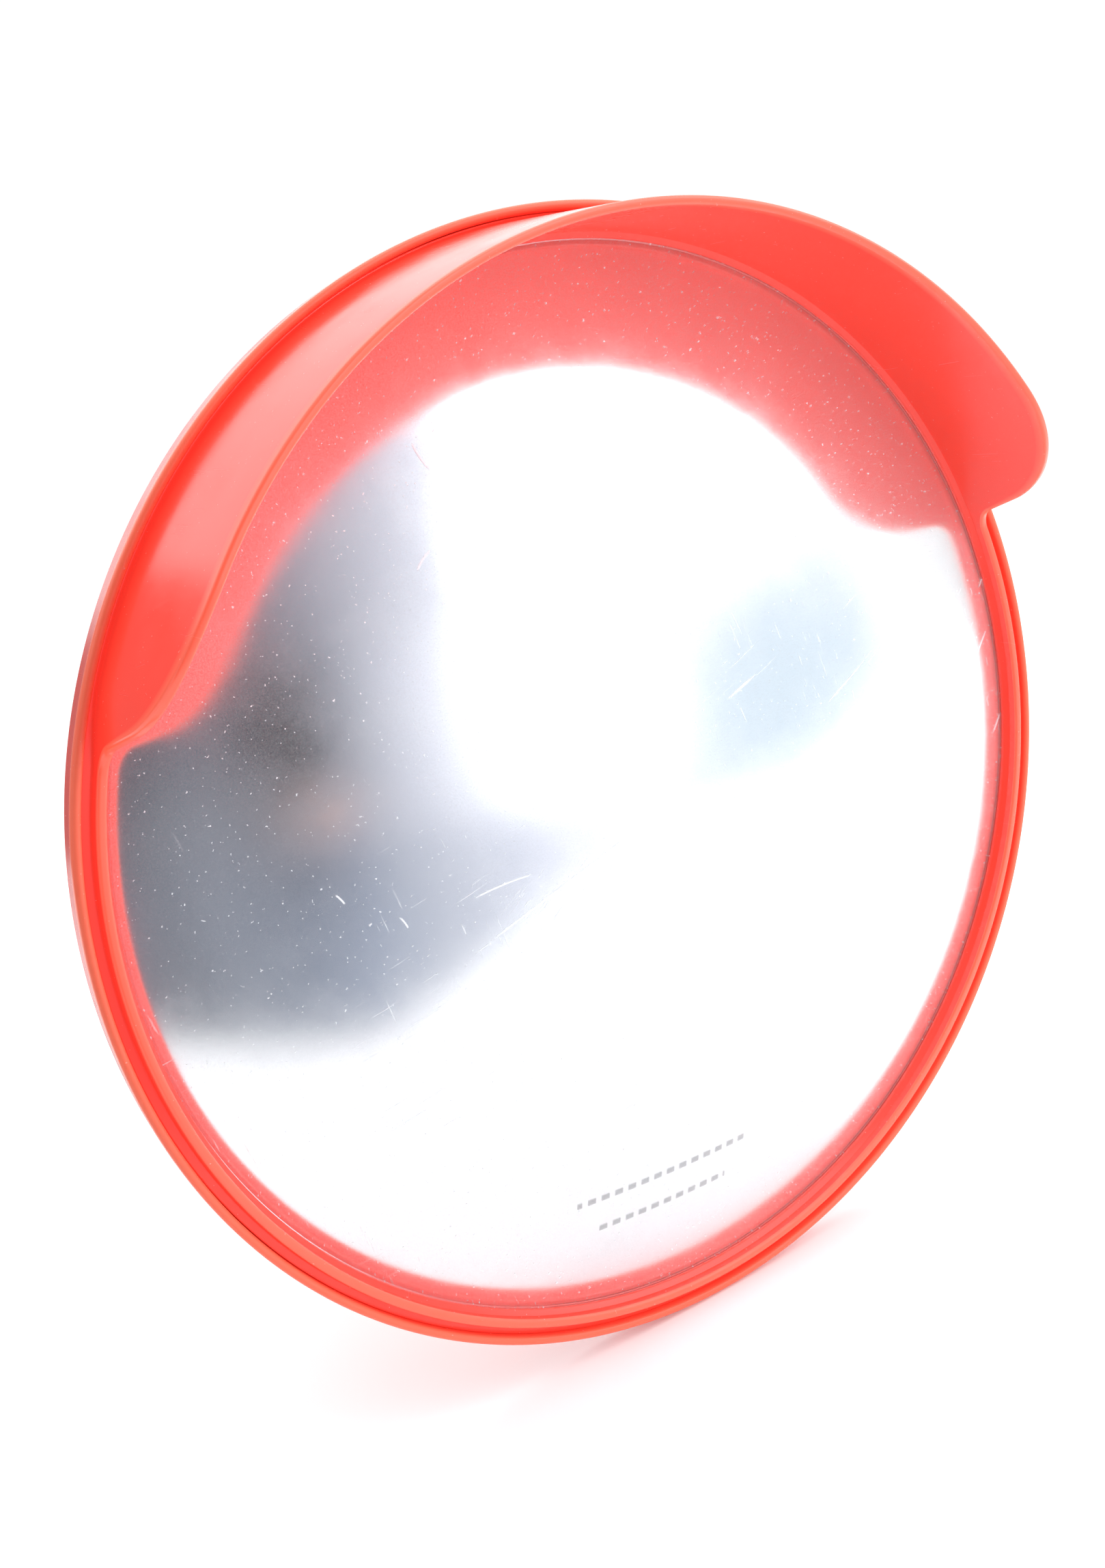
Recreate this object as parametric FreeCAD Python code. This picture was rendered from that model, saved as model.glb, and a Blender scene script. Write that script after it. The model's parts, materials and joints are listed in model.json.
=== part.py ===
import FreeCAD, Part
import math
import os

# Traffic convex mirror, nominal 450 mm, with a visor and a pan and tilt bracket on a pole clamp.
# Millimetres. The pole's axis is Z, through the origin, and the mirror faces -Y.
# Section points of the mirror head are (radius, depth): depth is 0 at the front ring's flange,
# grows towards the viewer, and is negative towards the pole.

V = FreeCAD.Vector
SIDES = (-1, 1)

# Mirror head
rim_r = 225.0                # outer radius of the rear shell's rolled rim
rim_wall_r = 223.9           # outer radius of the shell wall behind the rolled rim
rim_inner_r = 221.5          # inner radius of the shell wall, round the front ring
rim_crest = 3.6              # how far the rolled rim stands in front of the ring's flange
rim_roll_r = 1.7             # radius of the rolled rim's section
rim_skirt = 1.2              # length of the rolled rim's outer face below its section's centre
rim_skirt_r = 1.1            # radius that brings that face in to the shell wall
shell_t = 3.0                # wall thickness of the rear shell
seat_depth = 7.6             # depth of the seat that carries the seal and the ring's bosses
cone_outer_r = 206.0         # the shell's cone starts here, inside the screwed flange
cone_inner_r = 98.0          # the cone ends here, at the shelf round the pad
shelf_depth = 38.0           # depth of that shelf, outside
pad_r = 88.0                 # radius of the flat pad that takes the bracket
shell_depth = 41.0           # depth of the pad's outer face
pad_draft = 2.0              # how much wider the pad is at the shelf than at its face
heel_r = 1.5                 # outer corner between the shell's wall and its back

flange_r = 221.2             # outer radius of the front ring's flange
flange_t = 2.6               # thickness of that flange
wall_base_r = 217.5          # outer radius of the ring's upstand at its foot
wall_inner_r = 213.8         # inner radius of the ring's upstand
wall_h = 5.0                 # height of the upstand where there is no visor
cove_r = 1.0                 # radius between the flange and the upstand
nose_r = 212.4               # inner radius of the nose that covers the lens edge
nose_top = 0.7               # depth where the upstand's inner face turns into the nose
nose_end = -0.8              # depth where the nose's sloping face ends
nose_edge = -1.4             # depth of the nose's innermost edge
nose_edge_slope = 0.2        # how far that sloping face ends outside the edge
nose_undercut = 0.5          # how far the nose draws back underneath, towards the film
lens_play = 0.2              # radial play between the ring and the lens edge
visor_depth = 66.0           # height of the visor in front of the flange
visor_tip_r = 215.0          # outer radius of the visor at its front edge
visor_tip_inner_r = 211.9    # inner radius of the visor at its front edge
shoulder_r = 50.0            # radius of the visor's rounded shoulders, in side view
shoulder_z = 127.0           # height above the mirror's axis where the shoulder begins
shoulder_turn = 73.7         # degrees through which the shoulder turns
foot_fillet_r = 10.0         # radius where the visor's end runs into the upstand
lip_round = 1.2              # rounding of the visor's and the upstand's front edge

lens_r = 216.0               # outer radius of the lens, with its flat edge
dome_r = 211.5               # radius at which the dome starts
dome_sphere_r = 420.0        # radius of curvature of the reflecting face
lens_t = 2.0                 # lens thickness
lens_depth = 3.2             # depth of the flat edge's front face
film_t = 0.3                 # thickness of the protective film
film_r = 214.0               # outer radius of the film, under the ring's nose
seal_inner_r = 211.2         # inner radius of the seal ring behind the lens edge

screw_count = 8              # screws that hold the rear shell on the front ring
screw_circle_r = 218.8       # radius of their circle
screw_r = 1.75               # thread radius of a screw
screw_head_r = 3.5
screw_head_h = 2.4
screw_head_round = 1.2       # rounding of a screw's pan head
screw_clearance = 0.15       # radial clearance of a screw in the shell
screw_point_r = 0.2          # radius at the tip of a screw's point
screw_point_h = 2.0
screw_short = 1.0            # a screw ends this far short of the flange
cross_l = 4.2                # length, width and depth of the cross recess in a screw's head
cross_w = 0.9
cross_d = 1.4
boss_w = 12.0                # width of each screw boss along the rim
boss_overlap = 0.5           # how far a boss runs up into the flange
boss_inset = 0.3             # from a boss to the flange's outer edge
boss_gap = 0.4               # from a boss to the lens edge
rib_count = 12               # ribs on the back of the shell
rib_t = 3.0
rib_h = 5.0
rib_root = 1.5               # how far a rib runs into the shell's wall
rib_from_rim = 2.0           # from the cone's outer edge to a rib's outer end
rib_run_out = 10.0           # from the cone's outer edge to where a rib has its full height
rib_flat = 8.0               # from the cone's inner edge to where a rib levels with the pad
rib_from_pad = 4.0           # from the pad to a rib's inner end
drain_r = 2.5                # radius of the two drain holes at the bottom
drain_circle_r = 200.0
drain_turn = 8.0             # degrees from straight down to each drain hole

# Bracket
pole_r = 38.0                # radius of the pole, 76 mm in diameter
liner_t = 2.0                # rubber liner between pole and clamp
band_t = 4.0                 # thickness of the clamp bands
band_half_h = 30.0           # half the height of the clamp
clamp_gap = 2.0              # half the gap between the clamp halves when closed on the pole
lug_reach = 66.0             # how far the clamp's lugs reach from the pole's axis
lug_bolt_x = 55.0
lug_bolt_z = 16.0
tube_half = 25.0             # half the width of the square tube that joins the two pivots
tube_wall = 3.0
tube_corner_r = 4.0
tube_behind = 20.0           # length of tube behind the pan axis
tube_ahead = 18.0            # length of tube ahead of the tilt axis
fork_t = 4.0                 # thickness of the fork plates, the web and the ears
fork_half_w = 22.0           # half the width of the fork plates
friction_t = 0.8             # thickness of the nylon friction washers
side_gap = 0.2               # play between a friction washer and the plate that turns on it
pan_to_web = 30.5            # pan axis to the front of the fork's web, which stops the tube's corners
lock_to_pan = 19.0           # tilt lock bolt to pan axis
slot_r = 24.0                # tilt axis to tilt lock bolt, the radius of the ears' slots
tilt_limit = 20.0            # degrees of tilt each way
slot_play = 0.6              # play between the lock bolt and its slot, all round
plate_clear = 32.5           # tilt axis to the mounting plate's rear face
plate_half = 60.0            # half the side of the square mounting plate
plate_t = 4.0
plate_corner_r = 10.0
plate_bolt = 45.0            # mounting bolts stand at plus and minus this in X and Z
backing_half = 58.0          # half the side of the backing plate inside the shell
backing_t = 2.5
ear_root_half = 44.0         # half height of an ear where it meets the plate
ear_mid_half = 23.0          # half height of an ear at the tilt axis
ear_tip_half = 20.0          # half height of an ear at its free end
ear_tip = 11.5               # from the lock bolt's axis to the free end of an ear
ear_tip_round = 8.0
ear_root_run = 6.0           # length of an ear's straight edge at the plate
lug_corner_r = 6.0
lug_overlap = 1.0            # how far a lug runs into its band

# Fasteners: thread radius, width across flats, head height, nut height, washer radius, washer thickness
m8 = {"r": 4.0, "flats": 13.0, "head": 5.3, "nut": 6.8, "washer": 8.0, "washer_t": 1.6}
m10 = {"r": 5.0, "flats": 16.0, "head": 6.4, "nut": 8.4, "washer": 10.0, "washer_t": 2.0}
bolt_clearance = 0.4         # radial clearance of an ordinary bolt hole
pivot_clearance = 0.08       # radial running clearance of a pivot bolt
nut_clearance = 0.05         # a nut's plain bore over its bolt
friction_r = 12.0            # outer radius of a friction washer
lock_washer_r = 12.0         # outer radius of the wide washers over the slots
bolt_end = 3.5               # length of thread past a nut
nyloc_collar = 2.6           # height of the nylon collar on a self-locking nut
collar_share = 0.42          # radius of that collar as a share of the nut's flats
hex_top_share = 0.95         # flat top of a hexagon's chamfer as a share of its flats
tip_chamfer = 0.8            # radius lost at the end of a bolt
tip_h = 1.0                  # length of that chamfer
carriage_r = 9.0             # head radius of a mounting bolt
carriage_h = 4.4             # height of its head
neck_clearance = 0.1         # play of its square neck in the backing plate, each side

pick = 0.1                   # tolerance for picking edges by their place

# Places along Y, worked from the pole's axis towards the viewer
band_r = pole_r + liner_t + band_t
web_front = -(band_r + fork_t)
pan_y = web_front - pan_to_web
lock_y = pan_y - lock_to_pan
tilt_y = lock_y - slot_r
plate_rear = tilt_y - plate_clear
shell_back = plate_rear - plate_t
face_y = shell_back - shell_depth
fork_inner = tube_half + friction_t + side_gap
fork_outer = fork_inner + fork_t


def outline(start, *steps):
    """Closed wire in the XY plane. A step is a point for a line, or (middle, end) for an arc."""
    edges = []
    here = start
    for step in list(steps) + [start]:
        if isinstance(step[0], tuple):
            middle, end = step
            edges.append(Part.Arc(V(*here, 0), V(*middle, 0), V(*end, 0)).toShape())
        else:
            end = step
            if end == here:
                continue
            edges.append(Part.LineSegment(V(*here, 0), V(*end, 0)).toShape())
        here = end
    return Part.Wire(edges)


def arc(centre, radius, start, end):
    """(middle, end) of an arc, from its centre, radius and angles in degrees from the first axis."""
    points = []
    for angle in ((start + end) / 2, end):
        turn = math.radians(angle)
        points.append((centre[0] + radius * math.cos(turn), centre[1] + radius * math.sin(turn)))
    return points[0], points[1]


def head_turned(start, *steps):
    """Solid of revolution about the mirror's axis from a section in (radius, depth)."""
    face = Part.Face(outline(start, *steps))
    solid = face.revolve(V(0, 0, 0), V(0, 1, 0), 360)
    solid = solid.mirror(V(0, 0, 0), V(0, 1, 0))
    solid.translate(V(0, face_y, 0))
    return solid


def placed(shape, at, along):
    """A shape made on the Z axis, moved so that its axis starts at a point and runs along a direction."""
    moved = shape.copy()
    moved.Placement = FreeCAD.Placement(V(*at), FreeCAD.Rotation(V(0, 0, 1), V(*along)))
    return moved


def rod(at, along, radius, length):
    return placed(Part.makeCylinder(radius, length), at, along)


def plate(half_x, half_z, y_front, thickness, corner_r):
    """Flat plate in the XZ plane with rounded corners, from its front face backwards."""
    box = Part.makeBox(2 * half_x, thickness, 2 * half_z, V(-half_x, y_front, -half_z))
    corners = [e for e in box.Edges if e.BoundBox.YLength > thickness - pick]
    return box.makeFillet(corner_r, corners)


def hexagon(flats, height):
    """Hexagonal prism on Z with its top corners chamfered."""
    corner = flats / math.sqrt(3)
    points = [V(corner * math.cos(math.radians(60 * i)), corner * math.sin(math.radians(60 * i)), 0)
              for i in range(7)]
    prism = Part.Face(Part.makePolygon(points)).extrude(V(0, 0, height))
    top_r = hex_top_share * flats / 2
    return prism.common(Part.makeCone(top_r + height * math.sqrt(3), top_r, height))


def shank(radius, length):
    """Bolt shank with a chamfered end, from the origin down the Z axis."""
    stem = Part.makeCylinder(radius, length - tip_h, V(0, 0, tip_h - length))
    return [stem, Part.makeCone(radius - tip_chamfer, radius, tip_h, V(0, 0, -length))]


def hex_bolt(size, at, along, grip):
    """Bolt whose head seats at a point; the thread runs the other way from `along` for its grip."""
    head = hexagon(size["flats"], size["head"])
    length = grip + size["nut"] + bolt_end
    return placed(head.fuse(shank(size["r"], length)).removeSplitter(), at, along)


def washer(at, along, inner_r, outer_r, thickness):
    ring = Part.makeCylinder(outer_r, thickness)
    return placed(ring.cut(Part.makeCylinder(inner_r, thickness)), at, along)


def nut(size, at, along, collar=0.0):
    """Hexagon nut that seats at a point, with a nylon-lock collar if one is asked for."""
    body = hexagon(size["flats"], size["nut"])
    if collar:
        body = body.fuse(Part.makeCylinder(collar_share * size["flats"], collar, V(0, 0, size["nut"])))
    bore = Part.makeCylinder(size["r"] + nut_clearance, size["nut"] + collar)
    return placed(body.cut(bore), at, along)


def save(name, *solids):
    """Writes one node; several solids in it stay separate."""
    shape = solids[0] if len(solids) == 1 else Part.makeCompound(list(solids))
    shape.exportStep("parts/" + name + ".step")
    print(name, len(shape.Solids), shape.isValid(), round(shape.Volume / 1000, 2), "cm3")


def around(radius, angle):
    """Point on a circle about the mirror's axis; the angle is from +X towards +Z."""
    turn = math.radians(angle)
    return radius * math.cos(turn), radius * math.sin(turn)


def screw_angles():
    step = 360 / screw_count
    return [step * (i + 0.5) for i in range(screw_count)]


def sphere_middle(radius, edge_r, centre):
    """Point half way from a dome's edge to its crown, on its section."""
    half = math.asin(edge_r / radius) / 2
    return radius * math.sin(half), centre + radius * math.cos(half)


# ---------------------------------------------------------------- mirror head

def dome_centre():
    return -lens_depth - math.sqrt(dome_sphere_r ** 2 - dome_r ** 2)


def make_lens():
    """Domed reflector with a flat edge."""
    centre = dome_centre()
    back_r = dome_sphere_r - lens_t
    back_depth = -lens_depth - lens_t
    inner_r = math.sqrt(back_r ** 2 - (back_depth - centre) ** 2)
    return head_turned(
        (0, centre + back_r),
        (0, centre + dome_sphere_r),
        (sphere_middle(dome_sphere_r, dome_r, centre), (dome_r, -lens_depth)),
        (lens_r, -lens_depth),
        (lens_r, back_depth),
        (inner_r, back_depth),
        (sphere_middle(back_r, inner_r, centre), (0, centre + back_r)),
    )


def make_film():
    """Clear protective film on the lens, with its edge held under the ring's nose."""
    centre = dome_centre()
    front_r = dome_sphere_r + film_t
    front_depth = film_t - lens_depth
    outer_r = math.sqrt(front_r ** 2 - (front_depth - centre) ** 2)
    return head_turned(
        (0, centre + dome_sphere_r),
        (0, centre + front_r),
        (sphere_middle(front_r, outer_r, centre), (outer_r, front_depth)),
        (film_r, front_depth),
        (film_r, -lens_depth),
        (dome_r, -lens_depth),
        (sphere_middle(dome_sphere_r, dome_r, centre), (0, centre + dome_sphere_r)),
    )


def make_seal():
    front = -lens_depth - lens_t
    return head_turned(
        (seal_inner_r, -seat_depth), (seal_inner_r, front), (lens_r, front), (lens_r, -seat_depth))


def visor_limit():
    """Solid that keeps the front ring below the visor's side outline: (height, depth) along X."""
    shoulder = (shoulder_z, visor_depth - shoulder_r)
    turn = math.radians(shoulder_turn)
    run = (-math.cos(turn), -math.sin(turn))
    leave = (shoulder[0] - shoulder_r * math.sin(turn), shoulder[1] + shoulder_r * math.cos(turn))
    drop = (leave[1] - wall_h) / math.sin(turn)
    corner = (leave[0] + run[0] * drop, wall_h)
    back_off = foot_fillet_r * math.tan(turn / 2)
    foot_top = (corner[0] - run[0] * back_off, corner[1] - run[1] * back_off)
    foot_end = (corner[0] - back_off, wall_h)
    foot_centre = (foot_end[0], wall_h + foot_fillet_r)
    reach = 2 * rim_r
    below = -shell_depth
    wire = outline(
        (reach, visor_depth),
        (shoulder_z, visor_depth),
        arc(shoulder, shoulder_r, 90, 90 + shoulder_turn),
        foot_top,
        arc(foot_centre, foot_fillet_r, shoulder_turn - 90, -90),
        (-reach, wall_h),
        (-reach, below),
        (reach, below),
    )
    prism = Part.Face(wire).extrude(V(0, 0, 2 * reach))
    prism.Placement = FreeCAD.Placement(FreeCAD.Matrix(
        0, 0, 1, -reach,
        0, -1, 0, face_y,
        1, 0, 0, 0,
        0, 0, 0, 1,
    ))
    return prism


def make_visor_ring():
    """Front ring with its visor, one moulding: flange, upstand, nose over the lens, screw bosses."""
    nose_under = film_t - lens_depth
    full = head_turned(
        (flange_r, -flange_t),
        (flange_r, 0),
        (wall_base_r + cove_r, 0),
        arc((wall_base_r + cove_r, cove_r), cove_r, -90, -180),
        (visor_tip_r, visor_depth),
        (visor_tip_inner_r, visor_depth),
        (wall_inner_r, wall_h),
        (wall_inner_r, nose_top),
        (nose_r + nose_edge_slope, nose_end),
        (nose_r, nose_edge),
        (nose_r + nose_undercut, nose_under),
        (lens_r + lens_play, nose_under),
        (lens_r + lens_play, -flange_t),
    )
    ring = full.common(visor_limit())
    front_y = face_y - wall_h + pick
    ring = ring.makeFillet(lip_round, [e for e in ring.Edges if e.BoundBox.YMax < front_y])
    for angle in screw_angles():
        ring = ring.fuse(screw_boss(angle))
    for angle in screw_angles():
        x, z = around(screw_circle_r, angle)
        ring = ring.cut(rod((x, face_y + flange_t, z), (0, 1, 0), screw_r + nut_clearance, seat_depth))
    return ring


def screw_boss(angle):
    """Block under the flange that takes one screw, curved to the lens edge and to the flange."""
    top = flange_t - boss_overlap
    block = Part.makeBox(boss_w, seat_depth - top, rim_r, V(-boss_w / 2, face_y + top, 0))
    block.rotate(V(0, 0, 0), V(0, 1, 0), 90 - angle)
    room = Part.makeCylinder(flange_r - boss_inset, shell_depth, V(0, face_y, 0), V(0, 1, 0))
    core = Part.makeCylinder(lens_r + boss_gap, shell_depth, V(0, face_y, 0), V(0, 1, 0))
    return block.common(room).cut(core)


def cone_depth(radius):
    """Depth of the shell's outer cone at a radius."""
    start = seat_depth + shell_t
    slope = (shelf_depth - start) / (cone_outer_r - cone_inner_r)
    return -(start + (cone_outer_r - radius) * slope)


def make_rear_shell():
    """Dished back with a rolled rim, a seat for the seal, ribs, and a flat pad for the bracket."""
    slope = math.atan2(shelf_depth - seat_depth - shell_t, cone_outer_r - cone_inner_r)
    inward = shell_t * math.sin(slope)
    forward = shell_t * math.cos(slope)
    roll = (rim_r - rim_roll_r, rim_crest - rim_roll_r)
    back = -(seat_depth + shell_t)
    shell = head_turned(
        (rim_inner_r, roll[1]),
        arc(roll, rim_roll_r, 180, 0),
        (rim_r, roll[1] - rim_skirt),
        arc((rim_r - rim_skirt_r, roll[1] - rim_skirt), rim_skirt_r, 0, -90),
        (rim_wall_r, back + heel_r),
        arc((rim_wall_r - heel_r, back + heel_r), heel_r, 0, -90),
        (cone_outer_r, back),
        (cone_inner_r, -shelf_depth),
        (pad_r + pad_draft, -shelf_depth),
        (pad_r, -shell_depth),
        (0, -shell_depth),
        (0, shell_t - shell_depth),
        (pad_r - pad_draft / 2, shell_t - shell_depth),
        (pad_r + pad_draft / 2, shell_t - shelf_depth),
        (cone_inner_r - inward, forward - shelf_depth),
        (cone_outer_r - inward, -seat_depth),
        (rim_inner_r, -seat_depth),
    )
    for i in range(rib_count):
        shell = shell.fuse(shell_rib(360 / rib_count * (i + 0.5)))
    for angle in screw_angles():
        x, z = around(screw_circle_r, angle)
        shell = shell.cut(rod((x, face_y, z), (0, 1, 0), screw_r + screw_clearance, shell_depth))
    for side in SIDES:
        x, z = around(drain_circle_r, -90 + side * drain_turn)
        shell = shell.cut(rod((x, face_y, z), (0, 1, 0), drain_r, shell_depth))
    return drilled_for_mount(shell, m8["r"] + bolt_clearance)


def shell_rib(angle):
    """One radial rib on the back of the shell."""
    outer_end = cone_outer_r - rib_from_rim
    full_height = cone_outer_r - rib_run_out
    inner_end = pad_r + rib_from_pad
    points = [
        (outer_end, cone_depth(outer_end) + rib_root),
        (outer_end, cone_depth(outer_end)),
        (full_height, cone_depth(full_height) - rib_h),
        (cone_inner_r + rib_flat, -shell_depth),
        (inner_end, -shell_depth),
        (inner_end, -shelf_depth + rib_root),
        (cone_inner_r, -shelf_depth + rib_root),
    ]
    corners = [V(r, face_y - d, -rib_t / 2) for r, d in points]
    rib = Part.Face(Part.makePolygon(corners + corners[:1])).extrude(V(0, 0, rib_t))
    rib.rotate(V(0, 0, 0), V(0, 1, 0), -angle)
    return rib


def mount_points():
    return [(x * plate_bolt, z * plate_bolt) for x in SIDES for z in SIDES]


def drilled_for_mount(shape, radius):
    """The four holes for the mounting bolts, right through a shape."""
    for x, z in mount_points():
        shape = shape.cut(rod((x, face_y, z), (0, 1, 0), radius, 2 * shell_depth))
    return shape


def make_backing_plate():
    front = shell_back - shell_t - backing_t
    backing = plate(backing_half, backing_half, front, backing_t, plate_corner_r)
    neck = m8["r"] + neck_clearance
    for x, z in mount_points():
        backing = backing.cut(Part.makeBox(2 * neck, backing_t, 2 * neck, V(x - neck, front, z - neck)))
    return backing


def carriage_bolt(x, z):
    """Dome head inside the shell, square neck in the backing plate, thread out through the bracket."""
    seat = shell_back - shell_t - backing_t
    bulge = (carriage_r ** 2 + carriage_h ** 2) / (2 * carriage_h)
    ball = Part.makeSphere(bulge, V(0, 0, carriage_h - bulge))
    head = ball.common(Part.makeCylinder(bulge, carriage_h))
    neck = Part.makeBox(2 * m8["r"], 2 * m8["r"], backing_t, V(-m8["r"], -m8["r"], -backing_t))
    grip = backing_t + shell_t + plate_t + m8["washer_t"]
    stem = shank(m8["r"], grip + m8["nut"] + bolt_end)
    return placed(head.fuse([neck] + stem), (x, seat, z), (0, -1, 0))


def make_mount_plate():
    flat = plate(plate_half, plate_half, shell_back, plate_t, plate_corner_r)
    return drilled_for_mount(flat, m8["r"] + bolt_clearance)


def arc_slot(x_start, length):
    """Curved slot about the tilt axis, as wide as the lock bolt with its play, along X."""
    half_w = m8["r"] + slot_play
    outer = Part.makeCylinder(slot_r + half_w, length)
    ring = outer.cut(Part.makeCylinder(slot_r - half_w, length))
    reach = 2 * slot_r
    turn = math.radians(tilt_limit)
    wedge_points = [
        V(0, 0, 0),
        V(reach * math.cos(turn), -reach * math.sin(turn), 0),
        V(reach * math.cos(turn), reach * math.sin(turn), 0),
        V(0, 0, 0),
    ]
    slot = ring.common(Part.Face(Part.makePolygon(wedge_points)).extrude(V(0, 0, length)))
    for side in SIDES:
        end = V(slot_r * math.cos(turn), side * slot_r * math.sin(turn), 0)
        slot = slot.fuse(Part.makeCylinder(half_w, length, end))
    slot.Placement = FreeCAD.Placement(FreeCAD.Matrix(
        0, 0, 1, x_start,
        1, 0, 0, tilt_y,
        0, 1, 0, 0,
        0, 0, 0, 1,
    ))
    return slot


def make_ear(side):
    """Ear welded to the mounting plate: tilt hole, and an arc slot for the lock bolt."""
    start = fork_inner if side > 0 else -fork_outer
    tip = lock_y + ear_tip
    points = [
        (plate_rear, -ear_root_half),
        (plate_rear + ear_root_run, -ear_root_half),
        (tilt_y, -ear_mid_half),
        (tip, -ear_tip_half),
        (tip, ear_tip_half),
        (tilt_y, ear_mid_half),
        (plate_rear + ear_root_run, ear_root_half),
        (plate_rear, ear_root_half),
    ]
    corners = [V(start, y, z) for y, z in points]
    ear = Part.Face(Part.makePolygon(corners + corners[:1])).extrude(V(fork_t, 0, 0))
    tips = [e for e in ear.Edges
            if e.BoundBox.YMin > tip - pick and e.BoundBox.ZLength < pick]
    ear = ear.makeFillet(ear_tip_round, tips)
    ear = ear.cut(rod((start, tilt_y, 0), (1, 0, 0), m10["r"] + pivot_clearance, fork_t))
    return ear.cut(arc_slot(start, fork_t))


def make_head():
    save("mirror_lens", make_lens())
    save("protective_film", make_film())
    save("lens_seal", make_seal())
    save("visor_ring", make_visor_ring())
    save("rear_shell", make_rear_shell())
    save("ring_screws", *[ring_screw(angle) for angle in screw_angles()])
    save("backing_plate", make_backing_plate())
    save("mount_bolts", *[carriage_bolt(x, z) for x, z in mount_points()])
    hole = m8["r"] + bolt_clearance
    save("mount_washers", *[washer((x, plate_rear, z), (0, 1, 0), hole, m8["washer"], m8["washer_t"])
                            for x, z in mount_points()])
    save("mount_nuts", *[nut(m8, (x, plate_rear + m8["washer_t"], z), (0, 1, 0))
                         for x, z in mount_points()])
    save("mount_plate", make_mount_plate())
    save("tilt_ear_left", make_ear(-1))
    save("tilt_ear_right", make_ear(1))


def ring_screw(angle):
    """Pan-head self-tapping screw from behind, through the shell's flange into the ring's boss."""
    x, z = around(screw_circle_r, angle)
    length = seat_depth + shell_t - flange_t - screw_short
    stem = Part.makeCylinder(screw_r, length - screw_point_h, V(0, 0, screw_point_h - length))
    point = Part.makeCone(screw_point_r, screw_r, screw_point_h, V(0, 0, -length))
    head = Part.makeCylinder(screw_head_r, screw_head_h)
    top_edge = [e for e in head.Edges if e.BoundBox.ZMin > screw_head_h - pick]
    screw = head.makeFillet(screw_head_round, top_edge).fuse([stem, point])
    floor = screw_head_h - cross_d
    screw = screw.cut(Part.makeBox(cross_l, cross_w, cross_d, V(-cross_l / 2, -cross_w / 2, floor)))
    screw = screw.cut(Part.makeBox(cross_w, cross_l, cross_d, V(-cross_w / 2, -cross_l / 2, floor)))
    return placed(screw, (x, face_y + seat_depth + shell_t, z), (0, 1, 0))


# ------------------------------------------------------------ tube and pivots

def make_tube():
    """Square tube that carries the pan axis through its rear and the tilt axis through its front."""
    front = tilt_y - tube_ahead
    length = pan_y + tube_behind - front
    outer = square_bar(tube_half, front, length, tube_corner_r)
    inner = square_bar(tube_half - tube_wall, front, length, tube_corner_r - tube_wall)
    tube = outer.cut(inner)
    reach = 2 * tube_half
    tube = tube.cut(rod((0, pan_y, -tube_half), (0, 0, 1), m10["r"] + pivot_clearance, reach))
    tube = tube.cut(rod((-tube_half, tilt_y, 0), (1, 0, 0), m10["r"] + bolt_clearance, reach))
    return tube.cut(rod((-tube_half, lock_y, 0), (1, 0, 0), m8["r"] + bolt_clearance, reach))


def square_bar(half, front, length, corner_r):
    bar = Part.makeBox(2 * half, length, 2 * half, V(-half, front, -half))
    return bar.makeFillet(corner_r, [e for e in bar.Edges if e.BoundBox.YLength > length - pick])


def make_knuckle():
    save("swivel_tube", make_tube())
    pan_washers = [washer((0, pan_y, side * tube_half), (0, 0, side), m10["r"] + bolt_clearance,
                          friction_r, friction_t) for side in SIDES]
    save("pan_friction_washers", *pan_washers)
    tilt_washers = [washer((side * tube_half, tilt_y, 0), (side, 0, 0), m10["r"] + bolt_clearance,
                           friction_r, friction_t) for side in SIDES]
    save("tilt_friction_washers", *tilt_washers)
    for name, size, y, outer_r in (("tilt_pivot", m10, tilt_y, m10["washer"]),
                                   ("tilt_lock", m8, lock_y, lock_washer_r)):
        seat = fork_outer + side_gap
        grip = 2 * (seat + size["washer_t"])
        save(name + "_bolt", hex_bolt(size, (seat + size["washer_t"], y, 0), (1, 0, 0), grip))
        save(name + "_washers", *[washer((side * seat, y, 0), (side, 0, 0), size["r"] + nut_clearance,
                                         outer_r, size["washer_t"]) for side in SIDES])
        save(name + "_nut", nut(size, (-seat - size["washer_t"], y, 0), (-1, 0, 0), nyloc_collar))


# ----------------------------------------------------------- clamp on the pole

def make_fork_plate(side):
    """Horizontal plate of the fork, round at the pan axis and cut to the clamp band."""
    low = fork_inner if side > 0 else -fork_outer
    strip = Part.makeBox(2 * fork_half_w, -pan_y, fork_t, V(-fork_half_w, pan_y, low))
    strip = strip.fuse(Part.makeCylinder(fork_half_w, fork_t, V(0, pan_y, low)))
    strip = strip.cut(Part.makeCylinder(band_r, fork_t, V(0, 0, low)))
    strip = strip.cut(Part.makeCylinder(m10["r"] + bolt_clearance, fork_t, V(0, pan_y, low)))
    return strip.removeSplitter()


def make_fork_web():
    return Part.makeBox(2 * fork_half_w, fork_t, 2 * fork_inner, V(-fork_half_w, web_front, -fork_inner))


def half_ring(inner_r, outer_r, side, gap):
    """Half a tube round the pole on the +Y or -Y side, ending at the gap."""
    ring = Part.makeCylinder(outer_r, 2 * band_half_h, V(0, 0, -band_half_h))
    ring = ring.cut(Part.makeCylinder(inner_r, 2 * band_half_h, V(0, 0, -band_half_h)))
    keep_y = gap if side > 0 else -gap - outer_r
    kept = Part.makeBox(2 * outer_r, outer_r, 2 * band_half_h, V(-outer_r, keep_y, -band_half_h))
    return ring.common(kept)


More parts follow.
